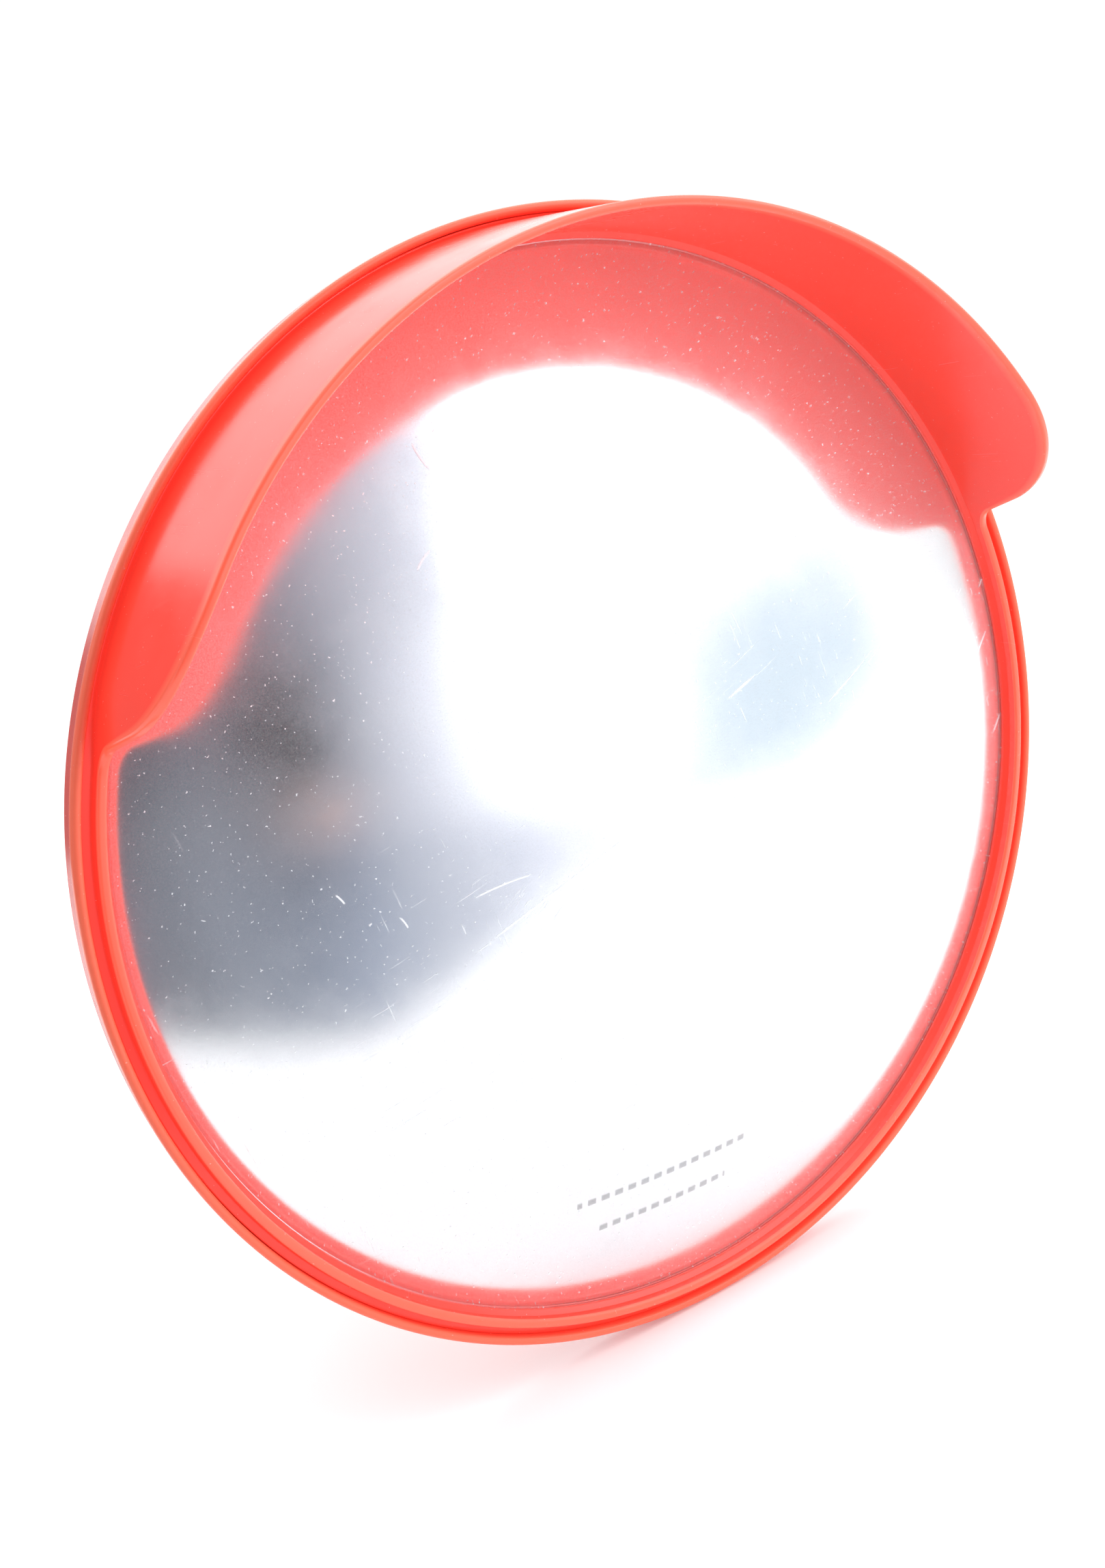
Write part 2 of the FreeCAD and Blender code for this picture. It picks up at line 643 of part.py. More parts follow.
def make_clamp_half(side):
    """Half of the pole clamp: a bent band with a drilled lug at each end."""
    inner_r = pole_r + liner_t
    half = half_ring(inner_r, band_r, side, clamp_gap)
    lug_y = clamp_gap if side > 0 else -clamp_gap - band_t
    root = inner_r + lug_overlap
    for end in SIDES:
        start = V(root if end > 0 else -lug_reach, lug_y, -band_half_h)
        lug = Part.makeBox(lug_reach - root, band_t, 2 * band_half_h, start)
        outer_edges = [e for e in lug.Edges if abs(e.CenterOfMass.x) > lug_reach - pick
                       and e.BoundBox.YLength > band_t - pick]
        half = half.fuse(lug.makeFillet(lug_corner_r, outer_edges))
    for x, z in lug_points():
        half = half.cut(rod((x, lug_y, z), (0, 1, 0), m8["r"] + bolt_clearance, band_t))
    return half.removeSplitter()


def lug_points():
    return [(x * lug_bolt_x, z * lug_bolt_z) for x in SIDES for z in SIDES]


def make_clamp():
    save("clamp_front", make_clamp_half(-1))
    save("clamp_rear", make_clamp_half(1))
    save("liner_front", half_ring(pole_r, pole_r + liner_t, -1, clamp_gap))
    save("liner_rear", half_ring(pole_r, pole_r + liner_t, 1, clamp_gap))
    save("fork_plates", make_fork_plate(-1), make_fork_plate(1))
    save("fork_web", make_fork_web())
    seat = clamp_gap + band_t
    head_y = -seat - m8["washer_t"]
    grip = 2 * (seat + m8["washer_t"])
    hole = m8["r"] + nut_clearance
    save("clamp_bolts", *[hex_bolt(m8, (x, head_y, z), (0, -1, 0), grip) for x, z in lug_points()])
    save("clamp_washers", *[washer((x, side * seat, z), (0, side, 0), hole, m8["washer"], m8["washer_t"])
                            for x, z in lug_points() for side in SIDES])
    save("clamp_nuts", *[nut(m8, (x, -head_y, z), (0, 1, 0)) for x, z in lug_points()])
    pan_seat = fork_outer + m10["washer_t"]
    save("pan_pivot_bolt", hex_bolt(m10, (0, pan_y, pan_seat), (0, 0, 1), 2 * pan_seat))
    save("pan_pivot_washers", *[washer((0, pan_y, side * fork_outer), (0, 0, side),
                                       m10["r"] + nut_clearance, m10["washer"], m10["washer_t"])
                                for side in SIDES])
    save("pan_pivot_nut", nut(m10, (0, pan_y, -pan_seat), (0, 0, -1), nyloc_collar))


os.makedirs("parts", exist_ok=True)
make_head()
make_knuckle()
make_clamp()
print("mirror face at y", face_y, "tilt axis", tilt_y, "pan axis", pan_y, "lock", lock_y)
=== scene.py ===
import json
import math
import bmesh
import bpy
from mathutils import Matrix, Quaternion, Vector


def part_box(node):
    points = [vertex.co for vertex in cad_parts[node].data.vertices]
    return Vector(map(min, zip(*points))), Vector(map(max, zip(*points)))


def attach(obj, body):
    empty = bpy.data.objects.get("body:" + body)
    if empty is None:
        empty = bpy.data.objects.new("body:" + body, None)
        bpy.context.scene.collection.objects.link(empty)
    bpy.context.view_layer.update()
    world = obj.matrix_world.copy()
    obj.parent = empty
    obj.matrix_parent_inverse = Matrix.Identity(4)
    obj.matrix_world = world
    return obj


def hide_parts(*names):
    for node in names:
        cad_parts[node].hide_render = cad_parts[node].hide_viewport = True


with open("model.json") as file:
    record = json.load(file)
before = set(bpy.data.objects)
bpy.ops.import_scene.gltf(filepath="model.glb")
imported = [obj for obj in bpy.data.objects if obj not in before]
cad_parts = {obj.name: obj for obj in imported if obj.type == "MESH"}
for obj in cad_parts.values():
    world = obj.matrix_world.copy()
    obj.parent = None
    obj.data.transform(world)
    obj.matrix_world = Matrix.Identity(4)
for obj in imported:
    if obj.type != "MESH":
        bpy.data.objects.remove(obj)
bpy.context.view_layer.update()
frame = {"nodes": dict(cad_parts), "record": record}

# Traffic convex mirror on its bracket. Blender works in metres. Sizes of the part's shapes are in
# millimetres and are turned into metres by MM; the materials and the studio are in metres. Sections
# of the mirror head are (radius, depth), with depth 0 at the front ring's flange and growing towards
# the viewer. Angles round the head start at the top.
MM = 0.001

ring_low, ring_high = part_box("visor_ring")
shell_low, shell_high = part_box("rear_shell")

rim_crest = 3.6
rim_r = shell_high.x / MM
face_y = shell_low.y + rim_crest * MM
visor_depth = (face_y - ring_low.y) / MM
flange_r = ring_high.x / MM
lens_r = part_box("mirror_lens")[1].x / MM
shell_depth = (shell_high.y - face_y) / MM

# Front ring: flange, low wall all round, and the visor's S-curve with its shoulder and its foot
lens_depth = 3.2
lens_t = 2.0
film_t = 0.3
flange_t = 2.6
wall_base_r = 217.5
wall_inner_r = 213.8
wall_h = 5.0
nose_r = 211.7
visor_tip_r = 215.0
visor_tip_inner_r = 211.9
shoulder_r = 50.0
shoulder_z = 127.0
shoulder_turn = math.radians(73.7)
foot_fillet_r = 10.0
lip_round = 1.2
cove_r = 1.0
wall_mid_r = (wall_base_r + wall_inner_r) / 2
root_spread = 2.4
spread_run = 30.0
shoulder_steps = 84
slope_steps = 20
foot_steps = 28
top_steps = 120
low_steps = 230
lip_steps = 6
wall_steps = 16

# Lens, film and seal
dome_r = 211.5
dome_sphere_r = 420.0
film_r = 214.0
film_gap = 0.03
seal_inner_r = 211.2
lens_bevel = 0.3
film_overlap = 0.06
dome_steps = 70
back_steps = 24
round_steps = 400

# Rear shell
rim_roll_r = 1.7
rim_wall_r = 223.9
rim_inner_r = 221.5
shell_t = 3.0
seat_depth = 7.6
cone_outer_r = 206.0
cone_inner_r = 98.0
shelf_depth = 38.0
pad_r = 88.0
rib_count = 12
rib_t = 3.0
rib_h = 5.0
screw_count = 8
screw_circle_r = 218.8
screw_hole_r = 1.9
drain_r = 2.5
drain_circle_r = 200.0
drain_turn = math.radians(8)
plate_bolt = 45.0
bolt_hole_r = 4.4
bolt_hole_sides = 46


# --- mesh helpers

def head_point(radius, angle, depth):
    """Point on the head, in metres, from its radius and depth in millimetres and its angle from the top."""
    return Vector((radius * MM * math.sin(angle), face_y - depth * MM, radius * MM * math.cos(angle)))


def add_object(name, data):
    thing = bpy.data.objects.new(name, data)
    bpy.context.scene.collection.objects.link(thing)
    return thing


def smooth(mesh, degrees):
    """Smooth shading, with sharp edges where faces meet at more than an angle."""
    mesh.shade_smooth()
    mesh.set_sharp_from_angle(angle=math.radians(degrees))


def mesh_object(name, points, faces, edge=None, smooth_angle=32):
    """Object from points and faces, with outward normals, and an optional `edge` value at each point, which
    the plastic paints as a lighter edge glow.
    """
    mesh = bpy.data.meshes.new(name)
    mesh.from_pydata(points, [], faces)
    if edge is not None:
        mesh.attributes.new("edge", "FLOAT", "POINT").data.foreach_set("value", edge)
    work = bmesh.new()
    work.from_mesh(mesh)
    bmesh.ops.remove_doubles(work, verts=work.verts, dist=1e-7)
    bmesh.ops.delete(work, geom=[e for e in work.edges if not e.link_faces], context="EDGES")
    bmesh.ops.recalc_face_normals(work, faces=work.faces)
    work.to_mesh(mesh)
    work.free()
    smooth(mesh, smooth_angle)
    return add_object(name, mesh)


def grid_faces(columns, rows, wrap_columns, wrap_rows, start=0):
    """Quads of a grid whose points run row by row within each column."""
    faces = []
    for i in range(columns if wrap_columns else columns - 1):
        a, b = start + i * rows, start + (i + 1) % columns * rows
        for j in range(rows if wrap_rows else rows - 1):
            k = (j + 1) % rows
            faces.append((a + j, b + j, b + k, a + k))
    return faces


def rounded(corners, steps=5):
    """Polyline through (x, y, fillet) corners, each turned into an arc of its fillet radius."""
    line = []
    count = len(corners)
    for i, (x, y, fillet) in enumerate(corners):
        here = Vector((x, y))
        if fillet <= 0:
            line.append((x, y))
            continue
        before = Vector(corners[i - 1][:2]) - here
        after = Vector(corners[(i + 1) % count][:2]) - here
        half = before.angle(after) / 2
        reach = min(fillet / math.tan(half), 0.49 * before.length, 0.49 * after.length)
        radius = reach * math.tan(half)
        middle = here + (before.normalized() + after.normalized()).normalized() * (radius / math.sin(half))
        first = here + before.normalized() * reach - middle
        last = here + after.normalized() * reach - middle
        sweep = first.angle_signed(last)
        for k in range(steps + 1):
            turn = -sweep * k / steps
            cos, sin = math.cos(turn), math.sin(turn)
            line.append((middle.x + first.x * cos - first.y * sin, middle.y + first.x * sin + first.y * cos))
    return line


def arc_points(centre, radius, start, end, steps):
    """Points along an arc in the plane, its first and last included; angles in radians."""
    turns = [start + (end - start) * k / steps for k in range(steps + 1)]
    return [(centre[0] + radius * math.cos(t), centre[1] + radius * math.sin(t)) for t in turns]


def lathe(name, section, closed, segments=360, edge=None, smooth_angle=32):
    """Solid of revolution about the mirror's axis from (radius, depth) points."""
    points = []
    for i in range(segments):
        angle = 2 * math.pi * i / segments
        points += [head_point(r, angle, d) for r, d in section]
    values = None if edge is None else list(edge) * segments
    return mesh_object(name, points, grid_faces(segments, len(section), True, closed), values, smooth_angle)


def swell(value, start, end):
    share = min(1.0, max(0.0, (value - start) / (end - start)))
    return share * share * (3 - 2 * share)


def apply_modifier(thing, kind, **settings):
    modifier = thing.modifiers.new(kind.lower(), kind)
    for key, value in settings.items():
        setattr(modifier, key, value)
    bpy.context.view_layer.objects.active = thing
    bpy.ops.object.modifier_apply(modifier=modifier.name)


def join(name, parts):
    """One object from several meshes; the parts are removed."""
    work = bmesh.new()
    for part in parts:
        part.data.transform(part.matrix_world)
        work.from_mesh(part.data)
        bpy.data.objects.remove(part)
    mesh = bpy.data.meshes.new(name)
    work.to_mesh(mesh)
    work.free()
    return add_object(name, mesh)


def along(start, direction):
    """Matrix that puts the local Z axis at a point, along a direction."""
    turn = Vector((0, 0, 1)).rotation_difference(Vector(direction))
    return Matrix.Translation(Vector(start)) @ turn.to_matrix().to_4x4()


def cylinder(name, start, direction, radius, length, segments=48):
    """Plain cylinder, used as a cutter."""
    points = []
    for i in range(segments):
        x, y = radius * math.cos(2 * math.pi * i / segments), radius * math.sin(2 * math.pi * i / segments)
        points += [Vector((x, y, 0)), Vector((x, y, length))]
    place = along(start, direction)
    faces = grid_faces(segments, 2, True, False)
    faces += [tuple(range(0, 2 * segments, 2)), tuple(range(1, 2 * segments, 2))]
    return mesh_object(name, [place @ p for p in points], faces)


# --- the head

def visor_edge():
    """Half of the ring's front edge, from the visor's top round to the ring's bottom: (angle, depth)."""
    shoulder_d = visor_depth - shoulder_r
    leave = (shoulder_z - shoulder_r * math.sin(shoulder_turn),
             shoulder_d + shoulder_r * math.cos(shoulder_turn))
    run = (-math.cos(shoulder_turn), -math.sin(shoulder_turn))
    corner_z = leave[0] + run[0] * (leave[1] - wall_h) / math.sin(shoulder_turn)
    back_off = foot_fillet_r * math.tan(shoulder_turn / 2)
    foot_top = (corner_z - run[0] * back_off, wall_h - run[1] * back_off)
    foot_end = corner_z - back_off
    outline = [(shoulder_z, visor_depth)]
    quarter = math.pi / 2
    outline += arc_points(
        (shoulder_z, shoulder_d), shoulder_r, quarter, quarter + shoulder_turn, shoulder_steps)[1:]
    for k in range(1, slope_steps):
        outline.append(tuple(a + (b - a) * k / slope_steps for a, b in zip(leave, foot_top)))
    outline += arc_points(
        (foot_end, wall_h + foot_fillet_r), foot_fillet_r, shoulder_turn - quarter, -quarter, foot_steps)
    edge = [(math.acos(z / wall_mid_r), d) for z, d in outline]
    top = [(edge[0][0] * k / top_steps, visor_depth) for k in range(top_steps)]
    low_start = edge[-1][0]
    low = [(low_start + (math.pi - low_start) * k / low_steps, wall_h) for k in range(1, low_steps + 1)]
    return top + edge + low


def wall_outer(depth, run, foot_run):
    """Outer radius of the wall. Its root spreads onto the flange within the visor, and not past its feet."""
    share = max(0.0, (depth - cove_r) / (visor_depth - cove_r))
    return wall_base_r + (visor_tip_r - wall_base_r) * share + spread(run, foot_run) * (1 - share)


def spread(run, foot_run):
    """How far the wall's root stands out at a distance round the wall from its top."""
    run = (run + math.pi * wall_mid_r) % (2 * math.pi * wall_mid_r) - math.pi * wall_mid_r
    return root_spread * swell(foot_run - abs(run), 0.0, spread_run)


def wall_inner(depth):
    share = (depth - wall_h) / (visor_depth - wall_h)
    return wall_inner_r + (visor_tip_inner_r - wall_inner_r) * max(0.0, share)


def make_visor_ring():
    """The ring and its visor, as one skin. Each column starts square to the front edge, so that the
    lip keeps its rounding along the whole S-curve, and then runs down to the ring's foot."""
    half = visor_edge()
    foot_run = next(a for a, d in half if d <= wall_h) * wall_mid_r
    whole = half + [(-a, d) for a, d in reversed(half[1:-1])]
    flat = [Vector((a * wall_mid_r, d)) for a, d in whole]
    count = len(flat)
    girth = 2 * math.pi * wall_mid_r
    nose_under = film_t - lens_depth
    inside = rounded([
        (wall_inner_r, 0.7, 0.0), (nose_r + 0.2, -0.8, 0.35), (nose_r, -1.4, 0.3),
        (nose_r + 0.5, nose_under, 0.2),
        (lens_r + 0.2, nose_under, 0.0), (lens_r + 0.2, -flange_t, 0.0), (flange_r, -flange_t, 0.25),
        (flange_r, 0, 0.35), (wall_base_r + cove_r, 0, 0.0)], 3)[1:]
    cove = arc_points((wall_base_r + cove_r, cove_r), cove_r, -math.pi / 2, -math.pi, 6)[1:-1]
    points, values = [], []
    for i in range(count):
        step = flat[(i + 1) % count] - flat[i - 1]
        step.x = (step.x + girth / 2) % girth - girth / 2
        into = Vector((step.y, -step.x)).normalized()
        start = flat[i] + into * lip_round
        foot = Vector((flat[i].x, cove_r))
        length = (start - foot).length
        wall = []
        for k in range(1, wall_steps):
            t = k / wall_steps
            pull = start + into * length / 3
            push = foot + Vector((0, length / 3))
            wall.append(start * (1 - t) ** 3 + pull * 3 * t * (1 - t) ** 2
                        + push * 3 * t * t * (1 - t) + foot * t ** 3)
        outward = spread(foot.x, foot_run)
        column = [(r, foot.x, d, 0.0) for r, d in inside]
        column[-1] = (inside[-1][0] + outward, foot.x, 0.0, 0.0)
        column += [(r + outward, foot.x, d, 0.0) for r, d in cove]
        column.append((wall_base_r + outward, foot.x, cove_r, 0.0))
        for p in reversed(wall):
            column.append((wall_outer(p.y, p.x, foot_run), p.x, p.y, 0.0))
        # The lip's points get edge value 1, which the plastic paints lighter: a painted edge glow.
        lip = []
        for k in range(lip_steps + 1):
            turn = math.pi / 2 * k / lip_steps
            lip.append((lip_round * (1 - math.sin(turn)), lip_round * (1 - math.cos(turn))))
        for n, w in lip:
            p = flat[i] + into * n
            column.append((wall_outer(p.y, p.x, foot_run) - w, p.x, p.y, 1.0))
        p = flat[i]
        column.append(((wall_outer(p.y, p.x, foot_run) + wall_inner(p.y)) / 2, p.x, p.y, 1.0))
        for n, w in reversed(lip):
            p = flat[i] + into * n
            column.append((wall_inner(p.y) + w, p.x, p.y, 1.0))
        for p in wall:
            column.append((wall_inner(p.y), p.x, p.y, 0.0))
        column.append((wall_inner_r, foot.x, 0.7, 0.0))
        points += [head_point(r, s / wall_mid_r, d) for r, s, d, _ in column]
        values += [e for _, _, _, e in column]
    rows = len(points) // count
    skin = mesh_object("visor_ring_skin", points, grid_faces(count, rows, True, True), values)
    bosses = []
    for i in range(screw_count):
        bosses.append(curved_block((i + 0.5) * 2 * math.pi / screw_count))
    ring = join("front_ring_with_visor", [skin] + bosses)
    ring.data.set_sharp_from_angle(angle=math.radians(38))
    return ring


def curved_block(angle):
    """Screw boss under the flange."""
    half_width, steps = 6.0, 6
    half_turn = half_width / screw_circle_r
    inner_r, outer_r, top = lens_r + 0.4, flange_r - 0.3, 0.2 - flange_t
    points = []
    for k in range(steps + 1):
        turn = angle - half_turn + 2 * half_turn * k / steps
        for r, d in ((inner_r, top), (outer_r, top), (outer_r, -seat_depth), (inner_r, -seat_depth)):
            points.append(head_point(r, turn, d))
    faces = grid_faces(steps + 1, 4, False, True)
    faces += [(0, 1, 2, 3), tuple(range(4 * steps, 4 * steps + 4))]
    return mesh_object("boss", points, faces)


def dome_section(radius, edge_r, centre, steps, outward):
    """Points of a dome's section between the axis and its edge."""
    half = math.asin(edge_r / radius)
    turns = [half * k / steps for k in range(steps + 1)]
    line = [(radius * math.sin(t), centre + radius * math.cos(t)) for t in turns]
    return line if outward else line[::-1]


dome_centre = -lens_depth - math.sqrt(dome_sphere_r ** 2 - dome_r ** 2)


def make_lens():
    back_r = dome_sphere_r - lens_t
    back_depth = -lens_depth - lens_t
    inner_r = math.sqrt(back_r ** 2 - (back_depth - dome_centre) ** 2)
    section = dome_section(dome_sphere_r, dome_r, dome_centre, dome_steps, True)
    section += [(lens_r - lens_bevel, -lens_depth), (lens_r, -lens_depth - lens_bevel), (lens_r, back_depth)]
    section += dome_section(back_r, inner_r, dome_centre, back_steps, False)
    return lathe("convex_lens", section, False, round_steps, smooth_angle=10)


def make_film():
    inner = dome_sphere_r + film_gap
    outer = dome_sphere_r + film_t
    front_depth = film_t - lens_depth
    outer_r = math.sqrt(outer ** 2 - (front_depth - dome_centre) ** 2)
    section = dome_section(outer, outer_r, dome_centre, dome_steps, True)
    section += [(film_r, front_depth), (film_r, film_gap - lens_depth)]
    section += dome_section(inner, dome_r + film_overlap, dome_centre, dome_steps, False)
    return lathe("protective_film_skin", section, False, round_steps, smooth_angle=10)


def make_seal():
    front = -lens_depth - lens_t
    section = rounded([
        (seal_inner_r, -seat_depth, 0.4), (seal_inner_r, front, 0.4),
        (lens_r, front, 0.4), (lens_r, -seat_depth, 0.4)])
    return lathe("lens_seal_skin", section, True)


def shell_cone_depth(radius):
    start = seat_depth + shell_t
    slope = (shelf_depth - start) / (cone_outer_r - cone_inner_r)
    return -(start + (cone_outer_r - radius) * slope)


def make_rear_shell():
    """Dished shell with a rolled rim, ribs on its back, and its screw, drain and mounting holes."""
    back = -(seat_depth + shell_t)
    slope = math.atan2(shelf_depth - seat_depth - shell_t, cone_outer_r - cone_inner_r)
    inward, forward = shell_t * math.sin(slope), shell_t * math.cos(slope)
    roll_r = (rim_inner_r + 0.1 + rim_r) / 2
    roll = arc_points((roll_r, rim_crest - rim_roll_r), rim_roll_r, math.pi, 0, 16)
    section = rounded([(r, d, 0) for r, d in roll] + [
        (rim_r, -0.4, 1.1), (rim_wall_r, -0.4, 0.3), (rim_wall_r, back, 1.5), (cone_outer_r, back, 3.0),
        (cone_inner_r, -shelf_depth, 3.0), (pad_r + 2, -shelf_depth, 0.6), (pad_r, -shell_depth, 1.2),
        (pad_r / 2, -shell_depth, 0), (0, -shell_depth, 0), (0, shell_t - shell_depth, 0),
        (pad_r - 1, shell_t - shell_depth, 0.8), (pad_r + 1, shell_t - shelf_depth, 0.8),
        (cone_inner_r - inward, forward - shelf_depth, 2.0), (cone_outer_r - inward, -seat_depth, 1.0),
        (rim_inner_r, -seat_depth, 0.4)])
    # The rolled rim's front crown gets edge value 1, which the plastic paints lighter: a painted lit side.
    painted_lit_crown = [1.0 if d > 0 and r > rim_inner_r else 0.0 for r, d in section]
    shell = lathe("shell_body", section, True, 360, painted_lit_crown)
    hole_depth = 80.0 * MM
    holes = []
    for i in range(screw_count):
        start = head_point(screw_circle_r, (i + 0.5) * 2 * math.pi / screw_count, 0)
        holes.append(cylinder("hole", start, (0, 1, 0), screw_hole_r * MM, hole_depth))
    for side in (-1, 1):
        start = head_point(drain_circle_r, math.pi + side * drain_turn, 0)
        holes.append(cylinder("hole", start, (0, 1, 0), drain_r * MM, hole_depth))
    for x in (-1, 1):
        for z in (-1, 1):
            start = (x * plate_bolt * MM, face_y, z * plate_bolt * MM)
            holes.append(cylinder("hole", start, (0, 1, 0), bolt_hole_r * MM, hole_depth, bolt_hole_sides))
    cutter = join("holes", holes)
    apply_modifier(shell, "BOOLEAN", operation="DIFFERENCE", object=cutter, solver="EXACT")
    bpy.data.objects.remove(cutter)
    ribs = join("ribs", [shell_rib(2 * math.pi / rib_count * (i + 0.5)) for i in range(rib_count)])
    apply_modifier(shell, "BOOLEAN", operation="UNION", object=ribs, solver="EXACT")
    bpy.data.objects.remove(ribs)
    shell.name = "rear_shell_moulding"
    smooth(shell.data, 32)
    return shell


def shell_rib(angle):
    """One radial rib with a rounded crest."""
    root = 1.5
    profile = [
        (cone_outer_r - 2, shell_cone_depth(cone_outer_r - 2) + root),
        (cone_outer_r - 2, shell_cone_depth(cone_outer_r - 2)),
        (cone_outer_r - 10, shell_cone_depth(cone_outer_r - 10) - rib_h),
        (cone_inner_r + 8, -shell_depth),
        (pad_r + 4, -shell_depth),
        (pad_r + 4, -shelf_depth + root),
        (cone_inner_r, -shelf_depth + root),
    ]
    count = len(profile)
    across = Vector((math.cos(angle), 0, -math.sin(angle))) * rib_t / 2 * MM
    points = [head_point(r, angle, d) + across for r, d in profile]
    points += [head_point(r, angle, d) - across for r, d in profile]
    faces = [tuple(range(count)), tuple(range(count, 2 * count))]
    faces += [(i, (i + 1) % count, count + (i + 1) % count, count + i) for i in range(count)]
    rib = mesh_object("rib", points, faces)
    apply_modifier(
        rib, "BEVEL", width=0.7 * MM, segments=3, limit_method="ANGLE", angle_limit=math.radians(40))
    return rib


# --- fasteners

def thread_rows(radius, pitch, top, bottom, segments):
    """Rows of a screw thread round Z from a height down to another, as rings of points."""
    per_pitch = 8
    rows = int((top - bottom) / pitch * per_pitch)
    depth = 0.55 * pitch
    rings = []
    for k in range(rows + 1):
        z = top - (top - bottom) * k / rows
        fade = min(1.0, 4.0 * k / per_pitch / 3, 4.0 * (rows - k) / per_pitch / 3)
        ring = []
        for i in range(segments):
            phase = (z / pitch - i / segments) % 1.0
            # Straight flanks between a flat crest and a flat root
            cut = min(1.0, max(0.0, 1.25 * abs(2 * phase - 1) - 0.125))
            r = radius - depth * cut * fade
            ring.append((r, 2 * math.pi * i / segments, z))
        rings.append(ring)
    return rings


def bolt(name, size, start, direction, grip, head, neck=0.0):
    """Bolt with a real helical thread. Its head seats at `start`, and its shank runs against `direction`."""
    segments = 48
    past_nut, into_head, overlap = 3.5, 0.2, 0.05
    tip_height, tip_taper = 1.0, 0.8
    radius, pitch, length = size["r"], size["pitch"], grip + size["nut"] + past_nut
    plain = -max(neck, length - size["threaded"])
    rings = [[(radius, 2 * math.pi * i / segments, z) for i in range(segments)]
             for z in (into_head, plain + overlap)]
    rings += thread_rows(radius, pitch, plain, tip_height - length, segments)
    rings.append([(radius - tip_taper, 2 * math.pi * i / segments, -length) for i in range(segments)])
    place = along(start, direction)
    parts = [turned("shank", rings, place, 50)]
    if head == "hex":
        parts.append(hex_head(size, place))
    else:
        parts += carriage_head(size, place, neck)
    thing = join(name, parts)
    smooth(thing.data, 30)
    return thing


def turned(name, rings, place, smooth_angle):
    """Solid through rings of (radius, angle, height) points about Z, closed at both ends, then placed."""
    count = len(rings[0])
    points = [place @ (Vector((r * math.cos(a), r * math.sin(a), z)) * MM)
              for ring in rings for r, a, z in ring]
    last = (len(rings) - 1) * count
    faces = grid_faces(len(rings), count, False, True)
    faces += [tuple(range(count)), tuple(range(last, last + count))]
    return mesh_object(name, points, faces, smooth_angle=smooth_angle)


def hex_head(size, place):
    """Hexagon head with its corners chamfered by a cone and a washer face underneath."""
    steps = 12
    flats, height = size["flats"], size["head"]
    washer_face_r, washer_face_t, top_r = 0.47 * flats, 0.35, 0.46 * flats
    cone_slope, cone_drop = 0.577, 0.15
    hexagon = []
    for i in range(6 * steps):
        angle = 2 * math.pi * i / (6 * steps)
        side = (angle + math.pi / 6) % (math.pi / 3) - math.pi / 6
        hexagon.append((flats / 2 / math.cos(side), angle))
    rings = [[(min(r, washer_face_r), a, z) for r, a in hexagon] for z in (0.0, washer_face_t)]
    rings.append([(r, a, washer_face_t) for r, a in hexagon])
    rings.append([(r, a, height - max(0.0, r - 0.49 * flats) * cone_slope - cone_drop) for r, a in hexagon])
    rings.append([(min(r, top_r), a, height) for r, a in hexagon])
    return turned("head", rings, place, 25)


def carriage_head(size, place, neck):
    """Low dome head and the square neck below it."""
    head_r, head_h = 9.0, 4.4
    bulge = (head_r ** 2 + head_h ** 2) / (2 * head_h)
    half = math.asin(head_r / bulge)
    segments, steps = 48, 14
    points = []
    for i in range(segments):
        angle = 2 * math.pi * i / segments
        for k in range(steps + 1):
            t = half * k / steps
            r, z = bulge * math.sin(t), head_h - bulge + bulge * math.cos(t)
            points.append(place @ (Vector((r * math.cos(angle), r * math.sin(angle), z)) * MM))
        points.append(place @ Vector((0, 0, 0)))
    dome = mesh_object("dome", points, grid_faces(segments, steps + 2, True, False))
    side = size["r"]
    corners = [(x, y, z) for z in (0.1, -neck)
               for x, y in ((-side, -side), (side, -side), (side, side), (-side, side))]
    faces = [(0, 1, 2, 3), (4, 5, 6, 7)] + [(i, (i + 1) % 4, 4 + (i + 1) % 4, 4 + i) for i in range(4)]
    square = mesh_object("neck", [place @ (Vector(c) * MM) for c in corners], faces)
    return [dome, square]


m8 = {"r": 4.0, "flats": 13.0, "head": 5.3, "nut": 6.8, "pitch": 1.25, "threaded": 22.0}
m10 = {"r": 5.0, "flats": 16.0, "head": 6.4, "nut": 8.4, "pitch": 1.5, "threaded": 26.0}
washer_r = 8.0


